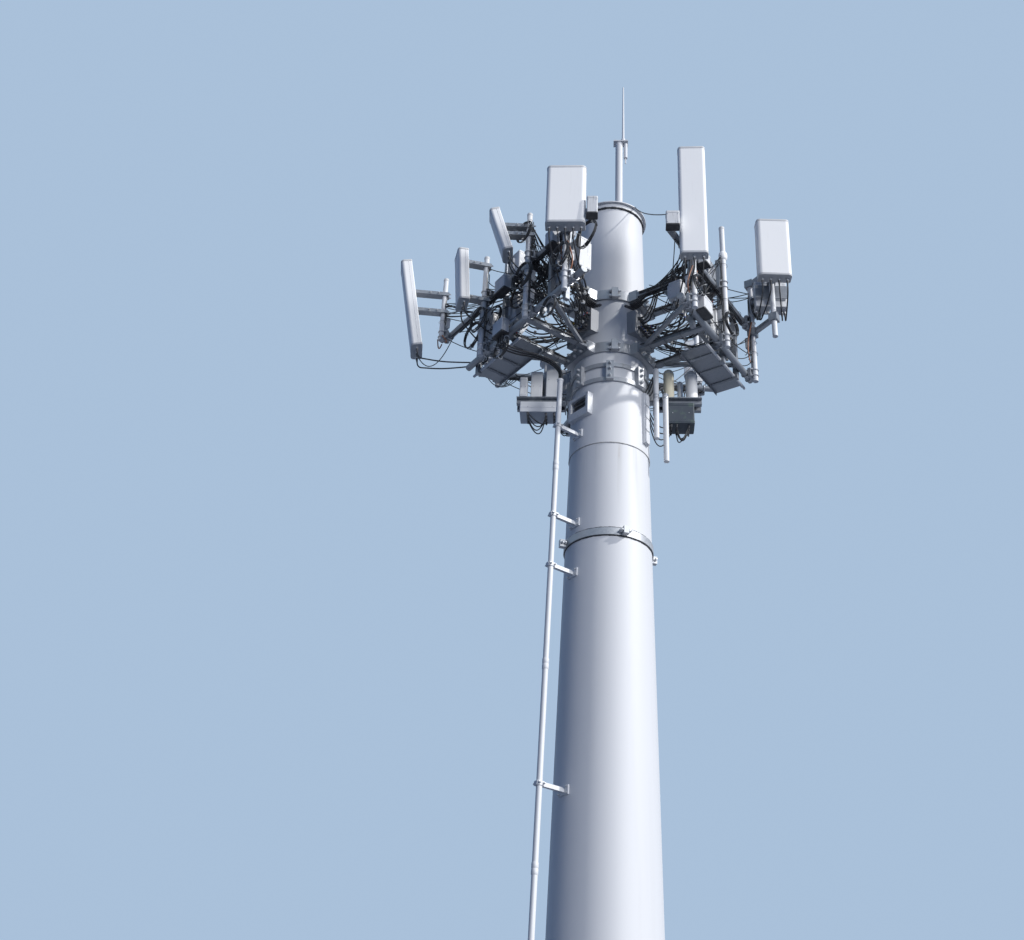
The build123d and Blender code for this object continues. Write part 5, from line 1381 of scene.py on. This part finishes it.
# sector, arm, along and top of the radio
SHEAVES = [("right", -0.18, -0.36, 13.12), ("left", 0.18, 0.52, 13.35), ("back", 0.18, 0.36, 13.35)]
wall = pole_radius(SHEAF_HEIGHT)
sheaf_cables, grommets, sheaf_boots = [], [], []
for sector, arm, along, radio_top in SHEAVES:
    for k in range(5):
        x, x1 = arm + 0.022 * (k - 2), along + 0.045 * (k - 2)
        z = UPPER - 0.050 - 0.019 * (k % 2)
        over = max(radio_top + 0.06, z - 0.02)
        route = [(x, wall - 0.02, SHEAF_HEIGHT), (x, wall + 0.06, SHEAF_HEIGHT), (x, wall + 0.13, z), (x, 0.86, z),
                 (x + 0.4 * (x1 - x), 0.93, 0.5 * (z + over)), (x1, 1.04, over),
                 (x1, SHEAF_END, radio_top + 0.03), (x1, SHEAF_END, radio_top)]
        sheaf_cables.append(bar(eased(np.array(route) * (1, -1, 1)) @ spin(TURN[sector])[:3, :3].T, 0.0090, 8))
        grommets.append(facing_out(at(sector, x, np.sqrt(wall ** 2 - x ** 2) - 0.004, SHEAF_HEIGHT)))
        sheaf_boots.append(at(sector, x1, SHEAF_END, radio_top - 0.002))
piece("sheaf_cables", sheaf_cables, "cable_black")
grommet = turned_profile([0, 0.019, 0.021, 0.019, 0.013, 0.0095, 0],
                         [-0.03, -0.03, 0.006, 0.014, 0.017, 0.026, 0.026], 16)
piece("sheaf_grommets", copies(grommet, grommets), "boot_grey")
top_boot = turned_profile([0, 0.017, 0.017, 0.014, 0.0115, 0], [0.0, 0.0, 0.012, 0.020, 0.044, 0.044], 14)
piece("sheaf_boots", copies(top_boot, sheaf_boots), "boot_grey")

# %% [markdown]
# ## Earth braids and the strap's lining, with painted shade
# Copper braids join the masts to the frames, and the tall panel's pair is the reddish strip at its foot in the
# photo. The strap ring is lined with black rubber, and its black edges above and below the steel are painted shade.

# %% Earth braids and strap lining
# sector, along, upper and lower end
BRAIDS = [("right", -0.63, 13.07, 12.72), ("right", 0.86, 13.34, 12.80), ("left", -1.48, 13.36, 13.30),
          ("left", 0.985, 13.08, 12.70), ("back", 0.0, 12.94, 12.72)]
braids = [hung(spot(at(sector, along + side * 0.050, 1.375, high)), spot(at(sector, along + side * 0.030, 1.325, low)),
               0.06, 0.05 * side, 0.0075, 17) for sector, along, high, low in BRAIDS for side in (-1, 1)]
piece("earth_braids", braids, "copper_braid")
STRAP_EDGES = (STRAP_HEIGHT - 0.0455, STRAP_HEIGHT + 0.0455)
# the two black rings are painted shade: dark lines along the strap's edges
piece("strap_lining_painted_shade", [ripple_ring(pole_radius(z) + 0.003, z, 0.0065) for z in STRAP_EDGES], "cable_black")

# %% [markdown]
# ## Deck ribs and rails
# The decks' undersides face the viewer. Three ribs stiffen each plate from edge to edge, screws hold them, and a
# white rail pipe runs under the outer fold, which is the light bar along the photo's right deck.

# %% Deck ribs, rails and screws
DECK_SPAN = {"left": (-0.93, -0.10), "right": (0.06, 0.93)}
DECK_UNDER, DECK_IN, DECK_OUT = 12.6117, 0.856, 1.157
ribs, rails, deck_screws = [], [], []
for sector, (start, end) in DECK_SPAN.items():
    for x in (start + share_along * (end - start) for share_along in (0.2, 0.5, 0.8)):
        path = [spot(at(sector, x, out, DECK_UNDER - 0.008)) for out in (DECK_IN + 0.012, DECK_OUT - 0.012)]
        ribs.append(bar(path, 0.016, 4, (0, 0, 1)))
        deck_screws += [at(sector, x + side * 0.024, out, DECK_UNDER) @ spin(180, "x")
                        for side in (-1, 1) for out in (DECK_IN + 0.04, 0.5 * (DECK_IN + DECK_OUT), DECK_OUT - 0.04)]
    path = [spot(at(sector, x, DECK_OUT + 0.022, DECK_UNDER - 0.030)) for x in (start - 0.03, end + 0.03)]
    rails.append(bar(path, 0.0150, 18, (0, 0, 1)))
piece("deck_ribs", ribs, "galvanised")
piece("deck_rails", rails, "pipe_white")
piece("deck_screws", copies(screw, deck_screws), "bolt_zinc")

# %% [markdown]
# ## Stage and light
# A small warm-white key from the right gives the photo's lit side, a broad fill from the front right lifts the
# panels, and a weak blue light from all round keeps the shaded side readable. The pale backdrop is only what the
# camera and reflections see, so it puts no light on the tower.

# %% Floor
FLOOR_RADIUS = 90
floor_shape = turned_profile([0, 20, FLOOR_RADIUS], [-0.002, -0.002, -0.002], 96)
mesh = bpy.data.meshes.new("floor")
mesh.from_pydata(floor_shape[0].tolist(), [], floor_shape[1].tolist() + floor_shape[2].tolist())
floor = bpy.data.objects.new("floor", mesh)
bpy.context.collection.objects.link(floor)
floor_finish = Finish("floor", Roughness=0.9)
sight = floor_finish.add("ShaderNodeLightPath", {}, {}, None)
looked_at = [Value(floor_finish, sight.outputs[name]) for name in ("Is Camera Ray", "Is Glossy Ray")]
pale = floor_finish.mix(looked_at[0] + looked_at[1], (0.10, 0.125, 0.17), (0.62, 0.66, 0.71))
floor_finish.tree.links.new(pale.socket, floor_finish.surface.inputs["Base Color"])
mesh.materials.append(floor_finish.material)

# %% Key light and fill light
def sun_lamp(name, azimuth, elevation, energy, angle, colour):
    """Sun lamp whose light comes from an azimuth, counted from the front to the right, and an elevation."""
    a, e = np.radians([azimuth, elevation])
    data = bpy.data.lights.new(name, "SUN")
    data.energy, data.angle, data.color = energy, np.radians(angle), colour
    lamp = bpy.data.objects.new(name, data)
    bpy.context.collection.objects.link(lamp)
    towards = np.array([np.sin(a) * np.cos(e), -np.cos(a) * np.cos(e), np.sin(e)])
    side = np.cross([0, 0, 1], towards) / np.cos(e)
    axes = np.stack([side, np.cross(towards, side), towards], 1)
    lamp.matrix_world = Matrix(axes.tolist()).to_4x4()


sun_lamp("key", 71, 35, 2.7, 2, (1.0, 0.985, 0.96))
sun_lamp("fill", 38, 12, 1.9, 20, (0.98, 0.985, 1.0))

# %% World: the backdrop for the camera and reflections, a weak blue light for all else
BACKDROP = (0.40, 0.53, 0.70, 1)
SHADE_LIGHT = (0.044, 0.095, 0.225, 1)
world = bpy.data.worlds.new("world")
world.use_nodes = True
bpy.context.scene.world = world
surround = Nodes(world.node_tree)
rays = surround.add("ShaderNodeLightPath", {}, {}, None)
camera_ray, glossy_ray, transmitted_ray = (
    Value(surround, rays.outputs[name]) for name in ("Is Camera Ray", "Is Glossy Ray", "Is Transmission Ray"))
clamped_sum = {"operation": "ADD", "use_clamp": True}
seen = surround.add("ShaderNodeMath", clamped_sum, {0: camera_ray, 1: glossy_ray})
seen = surround.add("ShaderNodeMath", clamped_sum, {0: seen, 1: transmitted_ray})
shades = [surround.add("ShaderNodeBackground", {}, {0: colour}) for colour in (SHADE_LIGHT, BACKDROP)]
either = surround.add("ShaderNodeMixShader", {}, {0: seen, 1: shades[0], 2: shades[1]})
surround.add("ShaderNodeOutputWorld", {}, {0: either}, None)
bpy.context.scene.view_settings.view_transform = "Standard"

# %% Size of what was added
print(sum(made.values()), "triangles added in", len(made), "pieces")
